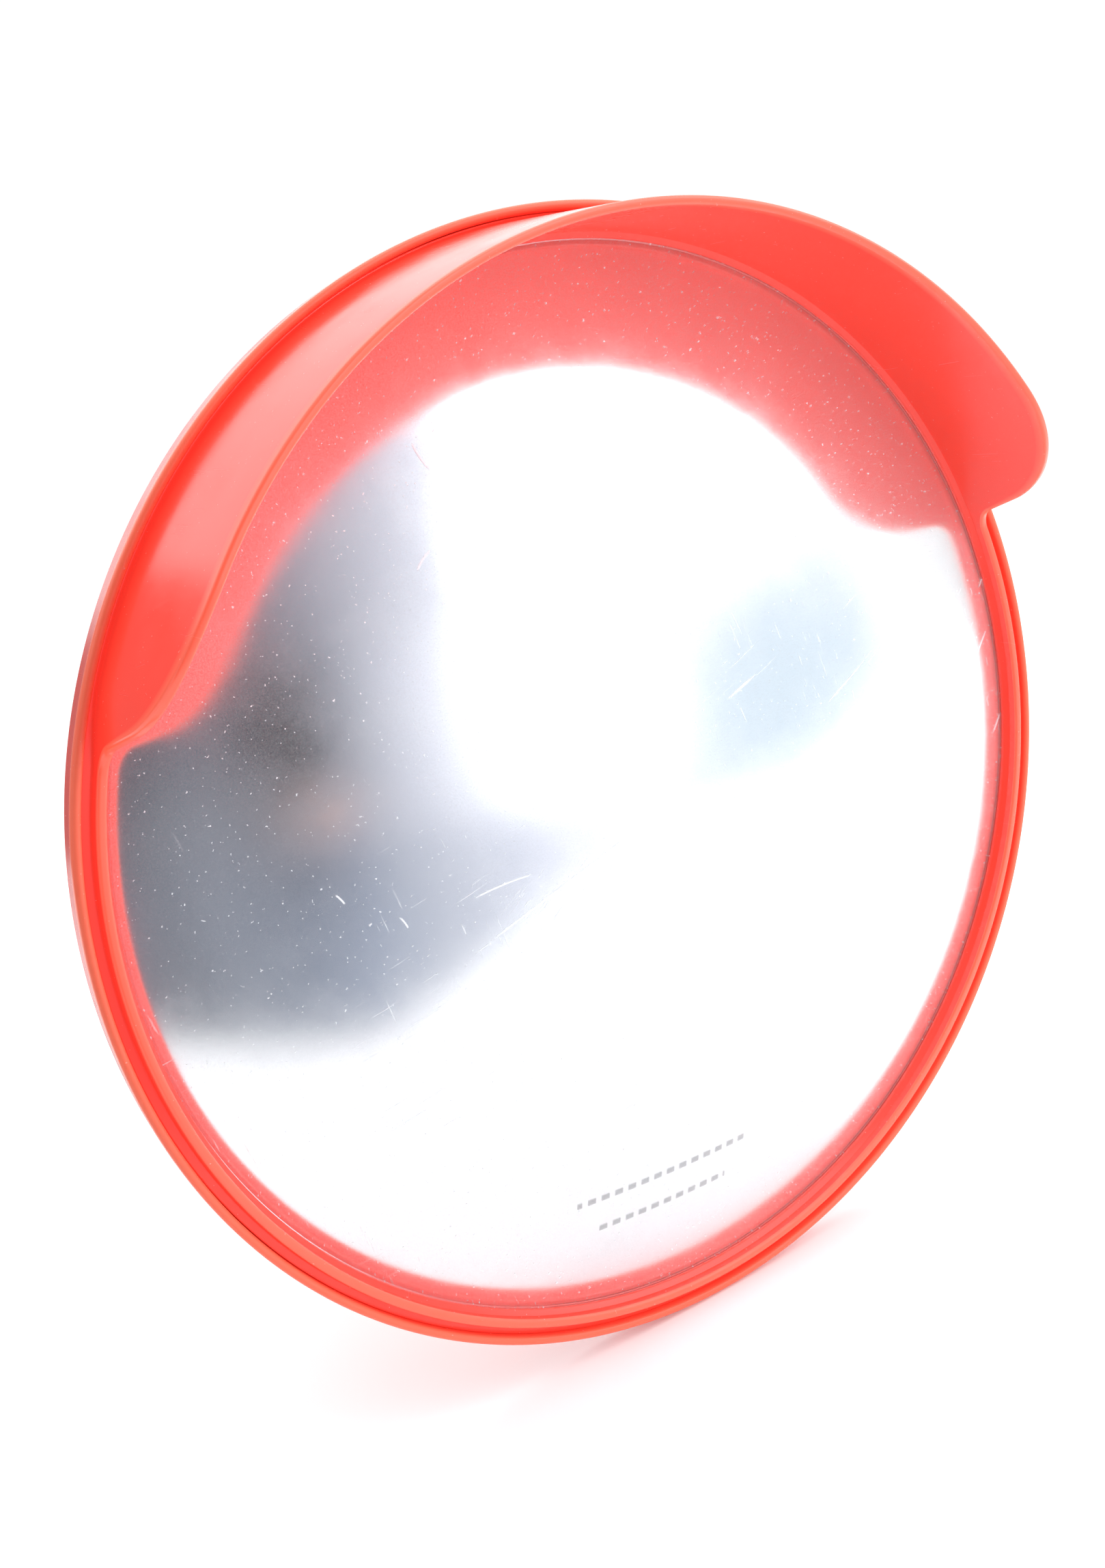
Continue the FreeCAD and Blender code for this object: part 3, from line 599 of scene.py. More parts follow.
def make_bolts():
    """Threaded bolts in place of the plain CAD ones, each where its CAD node has it."""
    made = []
    for name, size, direction, stem, body in (
            ("tilt_bolt", m10, Vector((1, 0, 0)), "tilt_pivot", "swivel"),
            ("lock_bolt", m8, Vector((1, 0, 0)), "tilt_lock", "swivel"),
            ("pan_bolt", m10, Vector((0, 0, 1)), "pan_pivot", "pole_clamp")):
        low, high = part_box(stem + "_washers")
        middle, seat = (low + high) / 2, high.dot(direction)
        start = middle + direction * (seat - middle.dot(direction))
        made.append((bolt(name, size, start, direction, 2 * seat / MM, "hex"), stem + "_bolt", body))
    seat_low, seat_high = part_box("clamp_washers")
    lug_x, lug_z = seat_high.x - washer_r * MM, seat_high.z - washer_r * MM
    grip = 2 * seat_high.y / MM
    group = [bolt("clamp_bolt", m8, (x * lug_x, seat_low.y, z * lug_z), (0, -1, 0), grip, "hex")
             for x in (-1, 1) for z in (-1, 1)]
    made.append((join("clamp_bolt_set", group), "clamp_bolts", "pole_clamp"))
    backing_low, backing_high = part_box("backing_plate")
    grip = (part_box("mount_washers")[1].y - backing_low.y) / MM
    neck = (backing_high.y - backing_low.y) / MM
    group = [bolt("mount_bolt", m8, (x * plate_bolt * MM, backing_low.y, z * plate_bolt * MM), (0, -1, 0),
                  grip, "dome", neck) for x in (-1, 1) for z in (-1, 1)]
    made.append((join("mount_bolt_set", group), "mount_bolts", "head"))
    for thing, stands_for, body in made:
        smooth(thing.data, 30)
        finish_piece(thing, "zinc_fasteners", body, stands_for)


# --- welds

wide_bead = 3.0
narrow_bead = 2.5
ear_margin = 4.0
web_margin = 3.0


def weld(name, path, faces_out, size, body, slot):
    """Fillet weld with its ripples along a path, between two faces that leave its root in two directions."""
    first, second = faces_out
    ripple, step = 1.5 * MM, 0.3 * MM
    end_start, end_run = 0.4 * MM, 2.2 * MM
    root_overlap = 0.2 * MM
    line = []
    for a, b in zip(path, path[1:]):
        run = (b - a).length
        count = max(1, int(run / step))
        line += [a + (b - a) * k / count for k in range(count)]
    line.append(path[-1])
    across = 9
    points = []
    travelled = 0.0
    for i, p in enumerate(line):
        if i:
            travelled += (p - line[i - 1]).length
        end_fade = min(1.0, (min(i, len(line) - 1 - i) * step + end_start) / end_run)
        wave = (travelled / ripple) % 1.0
        bulge = 1.0 + 0.10 * math.sin(math.pi * wave) + 0.05 * math.sin(travelled / MM * 0.7)
        width = size * bulge * math.sqrt(end_fade)
        for k in range(across):
            turn = math.pi / 2 * k / (across - 1)
            bow = 0.80 + 0.06 * math.cos(4 * turn)
            side = width * (math.cos(turn) ** 1.5 * first + math.sin(turn) ** 1.5 * second) * bow
            points.append(p + side)
        points.append(p - (first + second) * root_overlap)
    rows = across + 1
    faces = grid_faces(len(line), rows, False, True)
    faces += [tuple(range(rows)), tuple(range((len(line) - 1) * rows, len(line) * rows))]
    bead = mesh_object(name, points, faces, smooth_angle=60)
    finish_piece(bead, slot, body)


def make_welds():
    """Beads that join the ears to the mounting plate, and the fork's web to the clamp's front band."""
    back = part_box("mount_plate")[1].y
    for name, side in (("tilt_ear_left", -1), ("tilt_ear_right", 1)):
        low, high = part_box(name)
        reach = high.z - ear_margin * MM
        for face, out in ((low.x, -1), (high.x, 1)):
            path = [Vector((face, back, -reach)), Vector((face, back, reach))]
            weld(f"weld_{name}_{'in' if out * side < 0 else 'out'}", path,
                 (Vector((out, 0, 0)), Vector((0, 1, 0))), wide_bead * MM, "head", "galvanised_steel")
    web_low, web_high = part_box("fork_web")
    band = -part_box("clamp_front")[0].y
    half_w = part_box("fork_plates")[1].x - web_margin * MM
    for name, z, up in (("upper", web_high.z, -1), ("lower", web_low.z, 1)):
        path = [Vector((-half_w, web_low.y, z)), Vector((half_w, web_low.y, z))]
        weld(f"weld_web_{name}", path, (Vector((0, -1, 0)), Vector((0, 0, up))),
             narrow_bead * MM, "pole_clamp", "clamp_steel")
    for name, x, out in (("left", web_low.x, -1), ("right", web_high.x, 1)):
        reach = web_high.z - web_margin * MM
        root_y = -math.sqrt(band ** 2 - x ** 2)
        root = Vector((x, root_y, 0))
        outward = root.normalized()
        tangent = Vector((-outward.y, outward.x, 0)) * (1 if x > 0 else -1)
        if tangent.dot(Vector((out, 0, 0))) < 0:
            tangent = -tangent
        path = [root + Vector((0, 0, -reach)), root + Vector((0, 0, reach))]
        weld(f"weld_web_{name}", path, (Vector((0, -1, 0)), tangent),
             wide_bead * MM, "pole_clamp", "clamp_steel")


# --- materials

def feed(tree, target, inputs):
    """Sets a node's inputs; each is a value or another node's output."""
    for key, value in inputs.items():
        if isinstance(value, bpy.types.NodeSocket):
            tree.links.new(value, target.inputs[key])
        else:
            target.inputs[key].default_value = value


def node(tree, kind, inputs=None, **settings):
    """Adds a shader node with its inputs and settings."""
    made = tree.nodes.new(kind)
    for key, value in settings.items():
        setattr(made, key, value)
    feed(tree, made, inputs or {})
    return made


def new_material(name):
    material = bpy.data.materials.new(name)
    material.use_nodes = True
    tree = material.node_tree
    return material, tree, tree.nodes["Principled BSDF"]


def noise(tree, where, scale, detail=3.0, rough=0.5):
    return node(tree, "ShaderNodeTexNoise", {
        "Vector": where, "Scale": scale, "Detail": detail, "Roughness": rough}).outputs["Fac"]


def ramp(tree, value, low, high, to_low=0.0, to_high=1.0):
    """Value stretched from one range to another, smooth at its ends."""
    return node(tree, "ShaderNodeMapRange", {
        "Value": value, "From Min": low, "From Max": high, "To Min": to_low, "To Max": to_high},
        interpolation_type="SMOOTHSTEP").outputs["Result"]


def math_node(tree, operation, a, b):
    return node(tree, "ShaderNodeMath", {0: a, 1: b}, operation=operation).outputs[0]


def times(tree, a, b):
    return math_node(tree, "MULTIPLY", a, b)


def plus(tree, a, b):
    return math_node(tree, "ADD", a, b)


def mix_colour(tree, share, a, b, blend="MIX"):
    made = node(tree, "ShaderNodeMix", data_type="RGBA", blend_type=blend)
    for key, value in (("Factor", share), ("A", a), ("B", b)):
        socket = next(s for s in made.inputs if s.name == key and (key == "Factor" or s.type == "RGBA"))
        if isinstance(value, bpy.types.NodeSocket):
            tree.links.new(value, socket)
        else:
            socket.default_value = value
    return next(s for s in made.outputs if s.type == "RGBA")


def object_place(tree):
    return node(tree, "ShaderNodeTexCoord").outputs["Object"]


def own_axes(tree, centre, turn, size):
    """Coordinates from a centre, along axes turned about Y, in units of a size."""
    return node(tree, "ShaderNodeMapping", {
        "Vector": object_place(tree), "Location": centre, "Rotation": (0, turn, 0), "Scale": size},
        vector_type="TEXTURE").outputs["Vector"]


def streaks(tree, turn, length, width, low, high, seed):
    """Fine straight scratches: noise drawn out along one direction of the mirror's face."""
    where = own_axes(tree, (seed, 0, seed), turn, (length, length, width))
    return ramp(tree, noise(tree, where, 1.0, 1.0), low, high)


def scratch(tree, start, end, bow, half_width):
    """One scratch between two (x, z) points in millimetres, bowed to its left by so many millimetres."""
    x, z = end[0] - start[0], end[1] - start[1]
    middle = ((start[0] + x / 2) * MM, 0, (start[1] + z / 2) * MM)
    where = own_axes(tree, middle, -math.atan2(z, x), (math.hypot(x, z) / 2 * MM, 1, half_width * MM))
    parts = node(tree, "ShaderNodeSeparateXYZ", {"Vector": where})
    run, side = parts.outputs["X"], parts.outputs["Z"]
    square = times(tree, run, run)
    curve = times(tree, math_node(tree, "SUBTRACT", 1.0, square), bow / half_width)
    off = math_node(tree, "ABSOLUTE", math_node(tree, "SUBTRACT", side, curve), 0.0)
    return times(tree, ramp(tree, off, 0.3, 1.0, 1.0, 0.0), ramp(tree, square, 0.3, 1.0, 1.0, 0.0))


def add_bump(tree, shader, height, strength, distance):
    bump = node(tree, "ShaderNodeBump", {"Height": height, "Strength": strength, "Distance": distance})
    tree.links.new(bump.outputs["Normal"], shader.inputs["Normal"])


def plastic(name, body, edge, shadow, glow, shine):
    """Glossy coloured plastic with faint flow marks, dust and rub marks, a painted edge glow that makes its
    marked edges lighter, and a painted glow from constant emission.
    """
    material, tree, shader = new_material(name)
    where = object_place(tree)
    cloud = noise(tree, where, 9.0, 4.0, 0.55)
    colour = mix_colour(tree, ramp(tree, cloud, 0.35, 0.70), body, shadow)
    # Points with edge value 1 (the visor's lip and the shell's front crown) take the lighter edge colour: a
    # painted edge glow.
    painted_edge_glow = node(tree, "ShaderNodeAttribute", attribute_name="edge").outputs["Fac"]
    colour = mix_colour(tree, painted_edge_glow, colour, edge)
    speck = ramp(tree, noise(tree, where, 900.0, 2.0), 0.735, 0.77, 0.0, 0.35)
    colour = mix_colour(tree, speck, colour, (1.0, 0.62, 0.52, 1))
    rub = math_node(tree, "MAXIMUM", streaks(tree, 0.5, 0.05, 0.0005, 0.70, 0.76, 3.0),
                    streaks(tree, -0.8, 0.04, 0.0004, 0.71, 0.77, 7.0))
    gloss = ramp(tree, noise(tree, where, 30.0, 5.0, 0.6), 0.3, 0.75, 0.15, 0.27)
    gloss = plus(tree, gloss, times(tree, rub, 0.05))
    gloss = plus(tree, gloss, times(tree, speck, 0.6))
    # The constant emission is a painted glow. It lifts the plastic's shade whatever the lamps do.
    feed(tree, shader, {
        "Base Color": colour, "Roughness": gloss, "IOR": 1.49, "Specular IOR Level": shine,
        "Emission Color": (1.0, 0.10, 0.065, 1), "Emission Strength": glow})
    peel = plus(tree, times(tree, noise(tree, where, 260.0, 2.0), 0.6),
                     times(tree, rub, -0.05))
    add_bump(tree, shader, peel, 0.10, 0.0003)
    return material


def mirror_metal():
    """Vacuum-metallised face: bright, a little soft, and slightly uneven."""
    material, tree, shader = new_material("metallised_face")
    where = object_place(tree)
    cloud = noise(tree, where, 14.0, 4.0, 0.6)
    tone = ramp(tree, cloud, 0.3, 0.75)
    colour = mix_colour(tree, tone, (0.95, 0.955, 0.97, 1), (0.90, 0.915, 0.94, 1))
    soft = ramp(tree, noise(tree, where, 40.0, 5.0, 0.65), 0.3, 0.75, 0.17, 0.235)
    feed(tree, shader, {"Base Color": colour, "Metallic": 1.0, "Roughness": soft})
    add_bump(tree, shader, noise(tree, where, 900.0, 2.0), 0.05, 0.00006)
    return material


def film_marks(tree):
    """Two rows of short plain dashes near the film's lower edge, with no lettering."""
    parts = node(tree, "ShaderNodeSeparateXYZ", {"Vector": object_place(tree)})
    x, z = parts.outputs["X"], parts.outputs["Z"]
    dashes_per_metre = 170.0
    half_height = 0.0013
    rows = []
    for row_z, low, high in ((-0.1455, -0.0726, 0.0056), (-0.1610, -0.0627, -0.0026)):
        inside = times(tree, math_node(tree, "GREATER_THAN", x, low),
                           math_node(tree, "LESS_THAN", x, high))
        height = math_node(tree, "ABSOLUTE", math_node(tree, "SUBTRACT", z, row_z), 0.0)
        line = math_node(tree, "LESS_THAN", height, half_height)
        beat = math_node(tree, "FRACT", times(tree, x, dashes_per_metre), 0.0)
        dash = math_node(tree, "GREATER_THAN", beat, 0.42)
        rows.append(times(tree, times(tree, inside, line), dash))
    return math_node(tree, "MAXIMUM", *rows)


def clear_film():
    """Thin clear film over the mirror: a wide soft haze, fine grain, dust and scratches, with a painted
    white glow that makes them look lit.
    """
    material, tree, shader = new_material("clear_protective_film")
    where = object_place(tree)
    patch = ramp(tree, noise(tree, where, 11.0, 3.0), 0.45, 0.60)
    worn = math_node(tree, "MAXIMUM", streaks(tree, -0.37, 0.034, 0.0011, 0.68, 0.76, 0.1),
                     streaks(tree, 1.35, 0.016, 0.0010, 0.69, 0.77, 0.3))
    height = node(tree, "ShaderNodeSeparateXYZ", {"Vector": where}).outputs["Z"]
    patch = times(tree, patch, ramp(tree, height, 0.03, 0.09, 0.6, 0.0))
    patch = times(tree, patch, ramp(tree, height, -0.18, -0.10, 0.0, 1.0))
    worn = times(tree, worn, patch)
    centre = own_axes(tree, (-0.062, 0, -0.014), 0.0, (0.040, 10, 0.017))
    away = node(tree, "ShaderNodeVectorMath", {0: centre}, operation="LENGTH").outputs["Value"]
    cluster = times(tree, streaks(tree, -0.75, 0.013, 0.0009, 0.58, 0.72, 0.5),
                        ramp(tree, away, 0.4, 1.1, 0.55, 0.0))
    worn = math_node(tree, "MAXIMUM", worn, cluster)
    for line in (((-79.0, 150.5), (-76.0, 140.0), -0.5, 0.55), ((-92.0, 108.3), (-85.0, 114.5), 0.5, 0.50),
                 ((-101.0, -23.0), (-38.0, 2.0), 0.8, 0.60), ((-102.0, -5.0), (-78.0, -2.0), 0.8, 0.45),
                 ((-145.5, 8.8), (-143.0, 4.5), 0.2, 0.45), ((-126.7, -4.4), (-124.6, -9.3), 0.2, 0.45)):
        worn = math_node(tree, "MAXIMUM", worn, scratch(tree, *line))
    dust = ramp(tree, noise(tree, where, 800.0, 2.0), 0.70, 0.75)
    grain = noise(tree, where, 1900.0, 2.0)
    haze = ramp(tree, noise(tree, where, 5.0, 4.0), 0.3, 0.7, 0.012, 0.028)
    veil = plus(tree, haze, ramp(tree, grain, 0.3, 0.8, 0.0, 0.045))
    solid = times(tree, plus(tree, worn, dust), 0.60)
    marks = film_marks(tree)
    solid = math_node(tree, "MAXIMUM", solid, times(tree, marks, 0.22))
    colour = mix_colour(tree, marks, (0.93, 0.94, 0.97, 1), (0.12, 0.12, 0.13, 1))
    # The white emission is a painted glow that makes the haze, dust, scratches and dashes look lit.
    feed(tree, shader, {
        "Base Color": colour, "Alpha": math_node(tree, "MAXIMUM", veil, solid),
        "Roughness": ramp(tree, grain, 0.3, 0.8, 0.42, 0.55), "IOR": 1.5,
        "Emission Color": (1, 1, 1, 1), "Emission Strength": 0.2})
    add_bump(tree, shader, grain, 0.08, 0.0001)
    return material


def galvanised(name, bright, dull, spangle=45.0):
    """Hot-dip galvanised steel: spangle, soft runs, white bloom and scuffs."""
    material, tree, shader = new_material(name)
    where = object_place(tree)
    wobble = node(tree, "ShaderNodeTexNoise", {"Vector": where, "Scale": 60.0, "Detail": 3.0})
    bent = mix_colour(tree, 0.012, where, wobble.outputs["Color"], "LINEAR_LIGHT")
    cells = node(tree, "ShaderNodeTexVoronoi", {"Vector": bent, "Scale": spangle * 3}, feature="F1")
    tone = node(tree, "ShaderNodeSeparateColor", {"Color": cells.outputs["Color"]}).outputs["Red"]
    bloom = ramp(tree, noise(tree, where, 35.0, 6.0, 0.65), 0.50, 0.72)
    colour = mix_colour(tree, tone, bright, dull)
    colour = mix_colour(tree, times(tree, bloom, 0.55), colour, (0.60, 0.61, 0.62, 1))
    gloss = ramp(tree, tone, 0.0, 1.0, 0.30, 0.50)
    gloss = plus(tree, gloss, times(tree, bloom, 0.2))
    scuff = streaks(tree, 0.3, 0.03, 0.0005, 0.70, 0.75, 4.0)
    gloss = math_node(tree, "SUBTRACT", gloss, times(tree, scuff, 0.15))
    feed(tree, shader, {
        "Base Color": colour, "Roughness": gloss, "Metallic": ramp(tree, bloom, 0.0, 1.0, 1.0, 0.55)})
    height = plus(tree, times(tree, tone, 0.25), noise(tree, where, 180.0, 4.0))
    add_bump(tree, shader, height, 0.12, 0.0004)
    return material


def zinc():
    """Bright zinc plating with a faint blue and straw tint and handling marks."""
    material, tree, shader = new_material("bright_zinc")
    where = object_place(tree)
    tint = ramp(tree, noise(tree, where, 70.0, 3.0), 0.3, 0.7)
    colour = mix_colour(tree, tint, (0.60, 0.63, 0.68, 1), (0.66, 0.64, 0.56, 1))
    stain = ramp(tree, noise(tree, where, 260.0, 5.0, 0.7), 0.60, 0.75)
    colour = mix_colour(tree, times(tree, stain, 0.5), colour, (0.48, 0.47, 0.45, 1))
    gloss = ramp(tree, noise(tree, where, 420.0, 4.0), 0.3, 0.7, 0.20, 0.36)
    gloss = plus(tree, gloss, times(tree, stain, 0.2))
    feed(tree, shader, {"Base Color": colour, "Metallic": 1.0, "Roughness": gloss})
    add_bump(tree, shader, noise(tree, where, 900.0, 3.0), 0.08, 0.0001)
    return material


def rubber(name):
    """Matte black rubber with a fine moulded texture, dust and a slight bloom."""
    material, tree, shader = new_material(name)
    where = object_place(tree)
    bloom = ramp(tree, noise(tree, where, 45.0, 5.0, 0.6), 0.45, 0.75)
    colour = mix_colour(tree, bloom, (0.018, 0.018, 0.019, 1), (0.060, 0.060, 0.062, 1))
    feed(tree, shader, {"Base Color": colour, "Roughness": ramp(tree, bloom, 0.0, 1.0, 0.62, 0.85)})
    add_bump(tree, shader, noise(tree, where, 1100.0, 3.0), 0.25, 0.0002)
    return material


def nylon():
    """Natural nylon: off-white, slightly translucent, finely scuffed."""
    material, tree, shader = new_material("natural_nylon")
    where = object_place(tree)
    tone = ramp(tree, noise(tree, where, 90.0, 3.0), 0.3, 0.7)
    colour = mix_colour(tree, tone, (0.80, 0.78, 0.70, 1), (0.70, 0.67, 0.58, 1))
    gloss = ramp(tree, noise(tree, where, 500.0, 3.0), 0.3, 0.7, 0.38, 0.55)
    feed(tree, shader, {
        "Base Color": colour, "Roughness": gloss, "Subsurface Weight": 0.15, "Subsurface Scale": 0.001})
    add_bump(tree, shader, noise(tree, where, 700.0, 3.0), 0.12, 0.0001)
    return material


materials = {
    # Visor plastic: a strong painted glow from emission, and a lighter painted edge glow on its lip.
    "visor_plastic": plastic("fluorescent_plastic_painted_glow", (0.97, 0.038, 0.020, 1), (1.0, 0.130, 0.070, 1),
                             (0.90, 0.032, 0.018, 1), 0.27, 0.5),
    # Shell plastic: a darker, shaded copy of the visor's plastic with little painted glow; its front crown
    # takes the lighter edge colour, a painted lit side.
    "shell_plastic": plastic("shell_plastic", (0.72, 0.032, 0.016, 1), (1.0, 0.170, 0.095, 1),
                             (0.64, 0.026, 0.014, 1), 0.05, 0.25),
    "mirror_coating": mirror_metal(),
    "clear_film": clear_film(),
    "seal_rubber": rubber("seal_rubber"),
    "liner_rubber": rubber("liner_rubber"),
    "galvanised_steel": galvanised("galvanised_plate", (0.50, 0.52, 0.54, 1), (0.38, 0.40, 0.42, 1)),
    "clamp_steel": galvanised("galvanised_band", (0.47, 0.49, 0.51, 1), (0.36, 0.38, 0.40, 1), 60.0),
    "zinc_fasteners": zinc(),
    "nylon": nylon(),
}


def finish_piece(thing, slot, body, *stands_for):
    """Material, slot and body of a new piece, and the CAD nodes that it stands for."""
    thing.data.materials.clear()
    thing.data.materials.append(materials[slot])
    if stands_for:
        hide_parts(*stands_for)
    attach(thing, body)


washer_bevel = 0.2
plate_bevel = 0.5


def dress_cad_nodes():
    """Procedural material and broken edges for the CAD nodes that stay."""
    slots = {part["node"]: part["material_slot"] for part in frame["record"]["subparts"]}
    for name, thing in frame["nodes"].items():
        thing.data.materials.clear()
        thing.data.materials.append(materials[slots[name]])
        if thing.hide_render:
            continue
        weld_points = thing.modifiers.new("weld", "WELD")
        weld_points.merge_threshold = 1e-6
        flat = thing.modifiers.new("flat", "DECIMATE")
        flat.decimate_type = "DISSOLVE"
        flat.angle_limit = math.radians(0.5)
        low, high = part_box(name)
        thin = min(high - low)
        bevel = thing.modifiers.new("bevel", "BEVEL")
        wanted = washer_bevel if name.endswith("washers") else plate_bevel
        bevel.width = min(wanted * MM, 0.12 * thin)
        bevel.segments = 2
        bevel.limit_method = "ANGLE"
        bevel.angle_limit = math.radians(40)
        soften = thing.modifiers.new("normals", "WEIGHTED_NORMAL")
        soften.keep_sharp = False


finish_piece(make_visor_ring(), "visor_plastic", "head", "visor_ring")
finish_piece(make_lens(), "mirror_coating", "head", "mirror_lens")
finish_piece(make_film(), "clear_film", "head", "protective_film")
finish_piece(make_seal(), "seal_rubber", "head", "lens_seal")
finish_piece(make_rear_shell(), "shell_plastic", "head", "rear_shell")
make_bolts()
make_welds()
dress_cad_nodes()


# --- studio

floor_gap = 0.0008
floor_z = shell_low.z - floor_gap
room_radius = 1.7


def make_floor():
    """Pale sheet under the mirror. Its near edge fades out in front, where the mirror shows it."""
    edge = [(-3.0, -0.49), (-0.5, -0.465), (-0.22, -0.484), (-0.11, -0.624), (0.01, -0.782),
            (0.40, -1.04), (0.62, -0.90), (0.85, -0.80), (1.3, -0.82), (3.0, -1.2)]
    fade = 0.065
    back = 3.5
    points = []
    for x, y in edge:
        points += [(x, y - fade, floor_z), (x, y + fade, floor_z), (x, back, floor_z)]
    mesh = bpy.data.meshes.new("floor")
    mesh.from_pydata(points, [], grid_faces(len(edge), 3, False, False))
    mesh.attributes.new("solid", "FLOAT", "POINT").data.foreach_set("value", [0.0, 1.0, 1.0] * len(edge))
    floor = add_object("floor", mesh)
    material, tree, shader = new_material("pale_floor")
    where = object_place(tree)
    tone = ramp(tree, noise(tree, where, 3.0, 4.0), 0.3, 0.7)
    solid = node(tree, "ShaderNodeAttribute", attribute_name="solid").outputs["Fac"]
    feed(tree, shader, {
        "Base Color": mix_colour(tree, tone, (0.95, 0.95, 0.95, 1), (0.92, 0.92, 0.92, 1)),
        "Roughness": 0.8, "Specular IOR Level": 0.1, "Alpha": ramp(tree, solid, 0.0, 1.0),
        "Emission Color": (1, 1, 1, 1), "Emission Strength": 0.10})
    mesh.materials.append(material)


def bump_at(azimuth, elevation, centre, size):
    across = (azimuth - centre[0]) / size[0]
    up = (elevation - centre[1]) / size[1]
    return math.exp(-(across * across + up * up))


def room_tone(azimuth, elevation):
    """Light of the room in front of the mirror by direction in degrees: dim and blue-grey on the
    left, turning to a bright window on the right. The soft dark and warm patches near -25 degrees
    follow a blurred reflection in the photo, which may be the photographer; no figure is modelled."""
    low = swell(-elevation, 4, 14)
    bright_from = -3 + 18 * low + 8 * swell(elevation, 12, 24) + 5 * swell(elevation, 28, 40)
    share = min(1.0, max(0.0, (azimuth + 36) / (bright_from + 36)))
    level = 0.15 + 0.85 * share ** (1.95 - 0.75 * low)
    colour = Vector((level * (0.88 + 0.11 * share), level, level * (1.24 - 0.12 * share)))
    colour *= 1 - min(1.0, 1.35 * bump_at(azimuth, elevation, (-25, 10), (7, 10)))
    cool = swell(-azimuth, 8, 20) * swell(-elevation, 1, 8)
    colour *= Vector((1 - 0.10 * cool, 1 - 0.05 * cool, 1 + 0.04 * cool))
    colour *= 1 - 0.30 * bump_at(azimuth, elevation, (-25, -11), (9, 9))
    colour += Vector((0.50, 0.22, 0.12)) * bump_at(azimuth, elevation, (-22, -2), (5, 3))
    colour += Vector((0.10, 0.10, 0.11)) * swell(-azimuth, 28, 38) * swell(-elevation, -8, 2)
    colour *= 1 - 0.45 * swell(-azimuth, 36, 46)
    side = swell(azimuth, 26, 38) * (1 - swell(elevation, 7, 18))
    glare = 0.90 + (1.0 - 0.85 * side) * swell(elevation, -13, -6) + 1.3 * swell(elevation, 12, 26)
    window = Vector((0.96, 1.0, 1.02)) * glare * swell(azimuth, bright_from - 5, bright_from + 8)
    colour = Vector(max(c, w) for c, w in zip(colour, window))
    patch = min(1.0, 1.6 * bump_at(azimuth, elevation, (52, -5), (19, 13)))
    colour = colour.lerp(Vector((0.73, 0.86, 0.96)), patch)
    away = max(swell(elevation, 46, 62), swell(azimuth, 66, 78), swell(-azimuth, 72, 84))
    return colour.lerp(Vector((1.5, 1.5, 1.5)), away)


def sheen_tone(azimuth, elevation):
    """Light behind the mirror, as its glossy sides show it: dim below the horizon and bright above."""
    horizon = 2 + 21 * swell(azimuth, 185, 206)
    low = 0.60 - 0.38 * swell(azimuth, 185, 206)
    level = low + (1.72 - low) * swell(elevation, horizon, horizon + 5)
    return Vector((level, level, level))


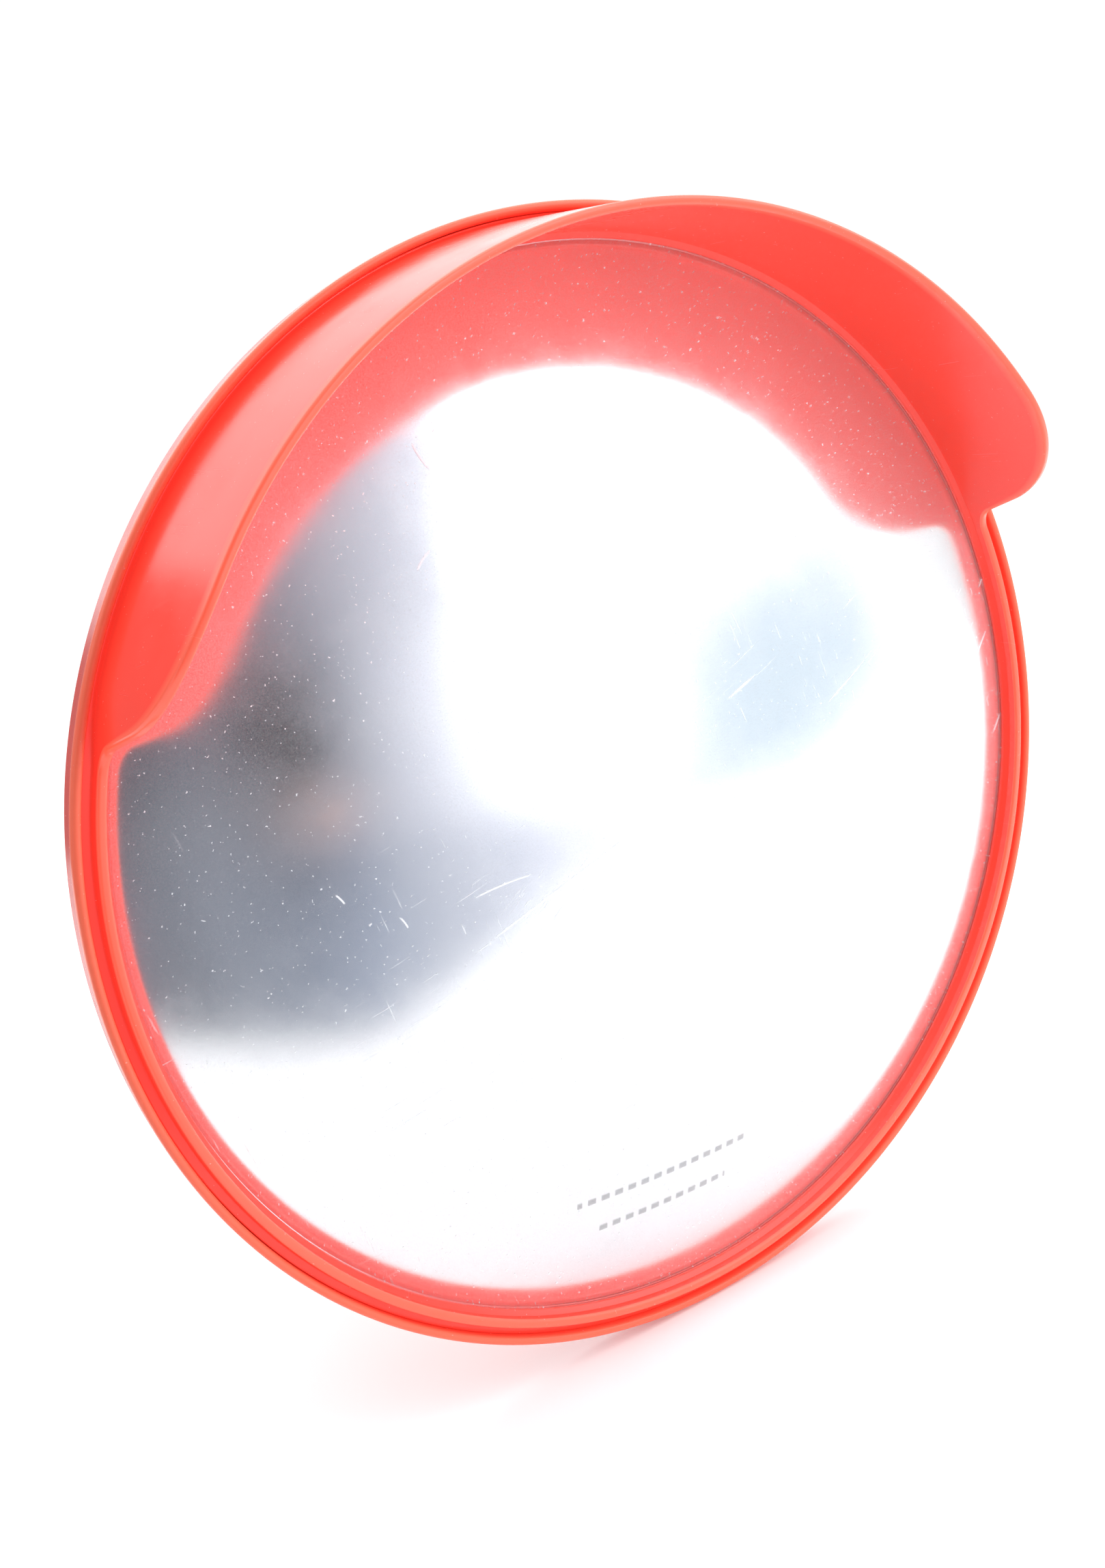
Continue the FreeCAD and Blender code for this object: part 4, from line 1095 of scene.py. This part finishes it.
def make_screen(name, tone, az_low, az_high, el_low, el_high):
    """Curved screen round the mirror that glows by direction. The camera doesn't see it."""
    columns, rows = 110, 90
    points, colours = [], []
    for i in range(columns):
        azimuth = az_low + (az_high - az_low) * i / (columns - 1)
        for j in range(rows):
            elevation = el_low + (el_high - el_low) * j / (rows - 1)
            a, e = math.radians(azimuth), math.radians(elevation)
            points.append(Vector((math.sin(a) * math.cos(e), -math.cos(a) * math.cos(e), math.sin(e)))
                          * room_radius + Vector((0, face_y, 0)))
            colours.append(tone(azimuth, elevation))
    mesh = bpy.data.meshes.new(name)
    mesh.from_pydata(points, [], grid_faces(columns, rows, False, False))
    layer = mesh.color_attributes.new("tone", "FLOAT_COLOR", "POINT")
    for i, colour in enumerate(colours):
        layer.data[i].color = (*colour, 1.0)
    screen = add_object(name, mesh)
    material = bpy.data.materials.new(name + "_light")
    material.use_nodes = True
    tree = material.node_tree
    tree.nodes.clear()
    shade = node(tree, "ShaderNodeVertexColor", layer_name="tone").outputs["Color"]
    glow = node(tree, "ShaderNodeEmission", {"Color": shade, "Strength": 1.0})
    node(tree, "ShaderNodeOutputMaterial", {"Surface": glow.outputs["Emission"]})
    mesh.materials.append(material)
    screen.visible_camera = False
    return screen


def make_room():
    """The room in front, which the mirror shows, and the light behind, which only gloss shows."""
    make_screen("room", room_tone, -86.0, 80.0, -62.0, 64.0)
    sheen = make_screen("sheen", sheen_tone, 94.0, 262.0, -70.0, 80.0)
    sheen.visible_diffuse = False
    sheen.visible_shadow = False


def make_lights():
    world = bpy.data.worlds.new("studio")
    bpy.context.scene.world = world
    world.use_nodes = True
    background = world.node_tree.nodes["Background"]
    feed(world.node_tree, background, {"Color": (1.0, 1.0, 1.0, 1), "Strength": 1.03})
    for name, where, size, power in (
            ("overhead", (0.5, 0.2, 2.1), 1.8, 26.0),
            ("side", (1.7, -0.9, 1.0), 1.2, 8.0)):
        data = bpy.data.lights.new(name, "AREA")
        data.size = size
        data.energy = power
        lamp = add_object(name, data)
        lamp.location = where
        lamp.rotation_euler = (Vector((0, face_y, 0)) - Vector(where)).to_track_quat("-Z", "Y").to_euler()


def make_camera():
    """Camera in front, to the viewer's left and a little above, rolled to give the photo's lean."""
    from_face = Vector((-0.343, -0.520, 0.1639))
    aim = Vector((-0.0372, 0.0, 0.0136))
    lean = math.radians(10.27)
    centre = Vector((0, face_y, 0))
    data = bpy.data.cameras.new("camera")
    data.lens = 37.05
    data.sensor_width = 36.0
    data.clip_start = 0.01
    camera = add_object("camera", data)
    look = (aim - from_face).to_track_quat("-Z", "Y")
    camera.rotation_mode = "QUATERNION"
    camera.rotation_quaternion = look @ Quaternion((0, 0, 1), -lean)
    camera.location = centre + from_face
    bpy.context.scene.camera = camera


make_floor()
make_room()
make_lights()
make_camera()
bpy.context.scene.view_settings.view_transform = "Standard"
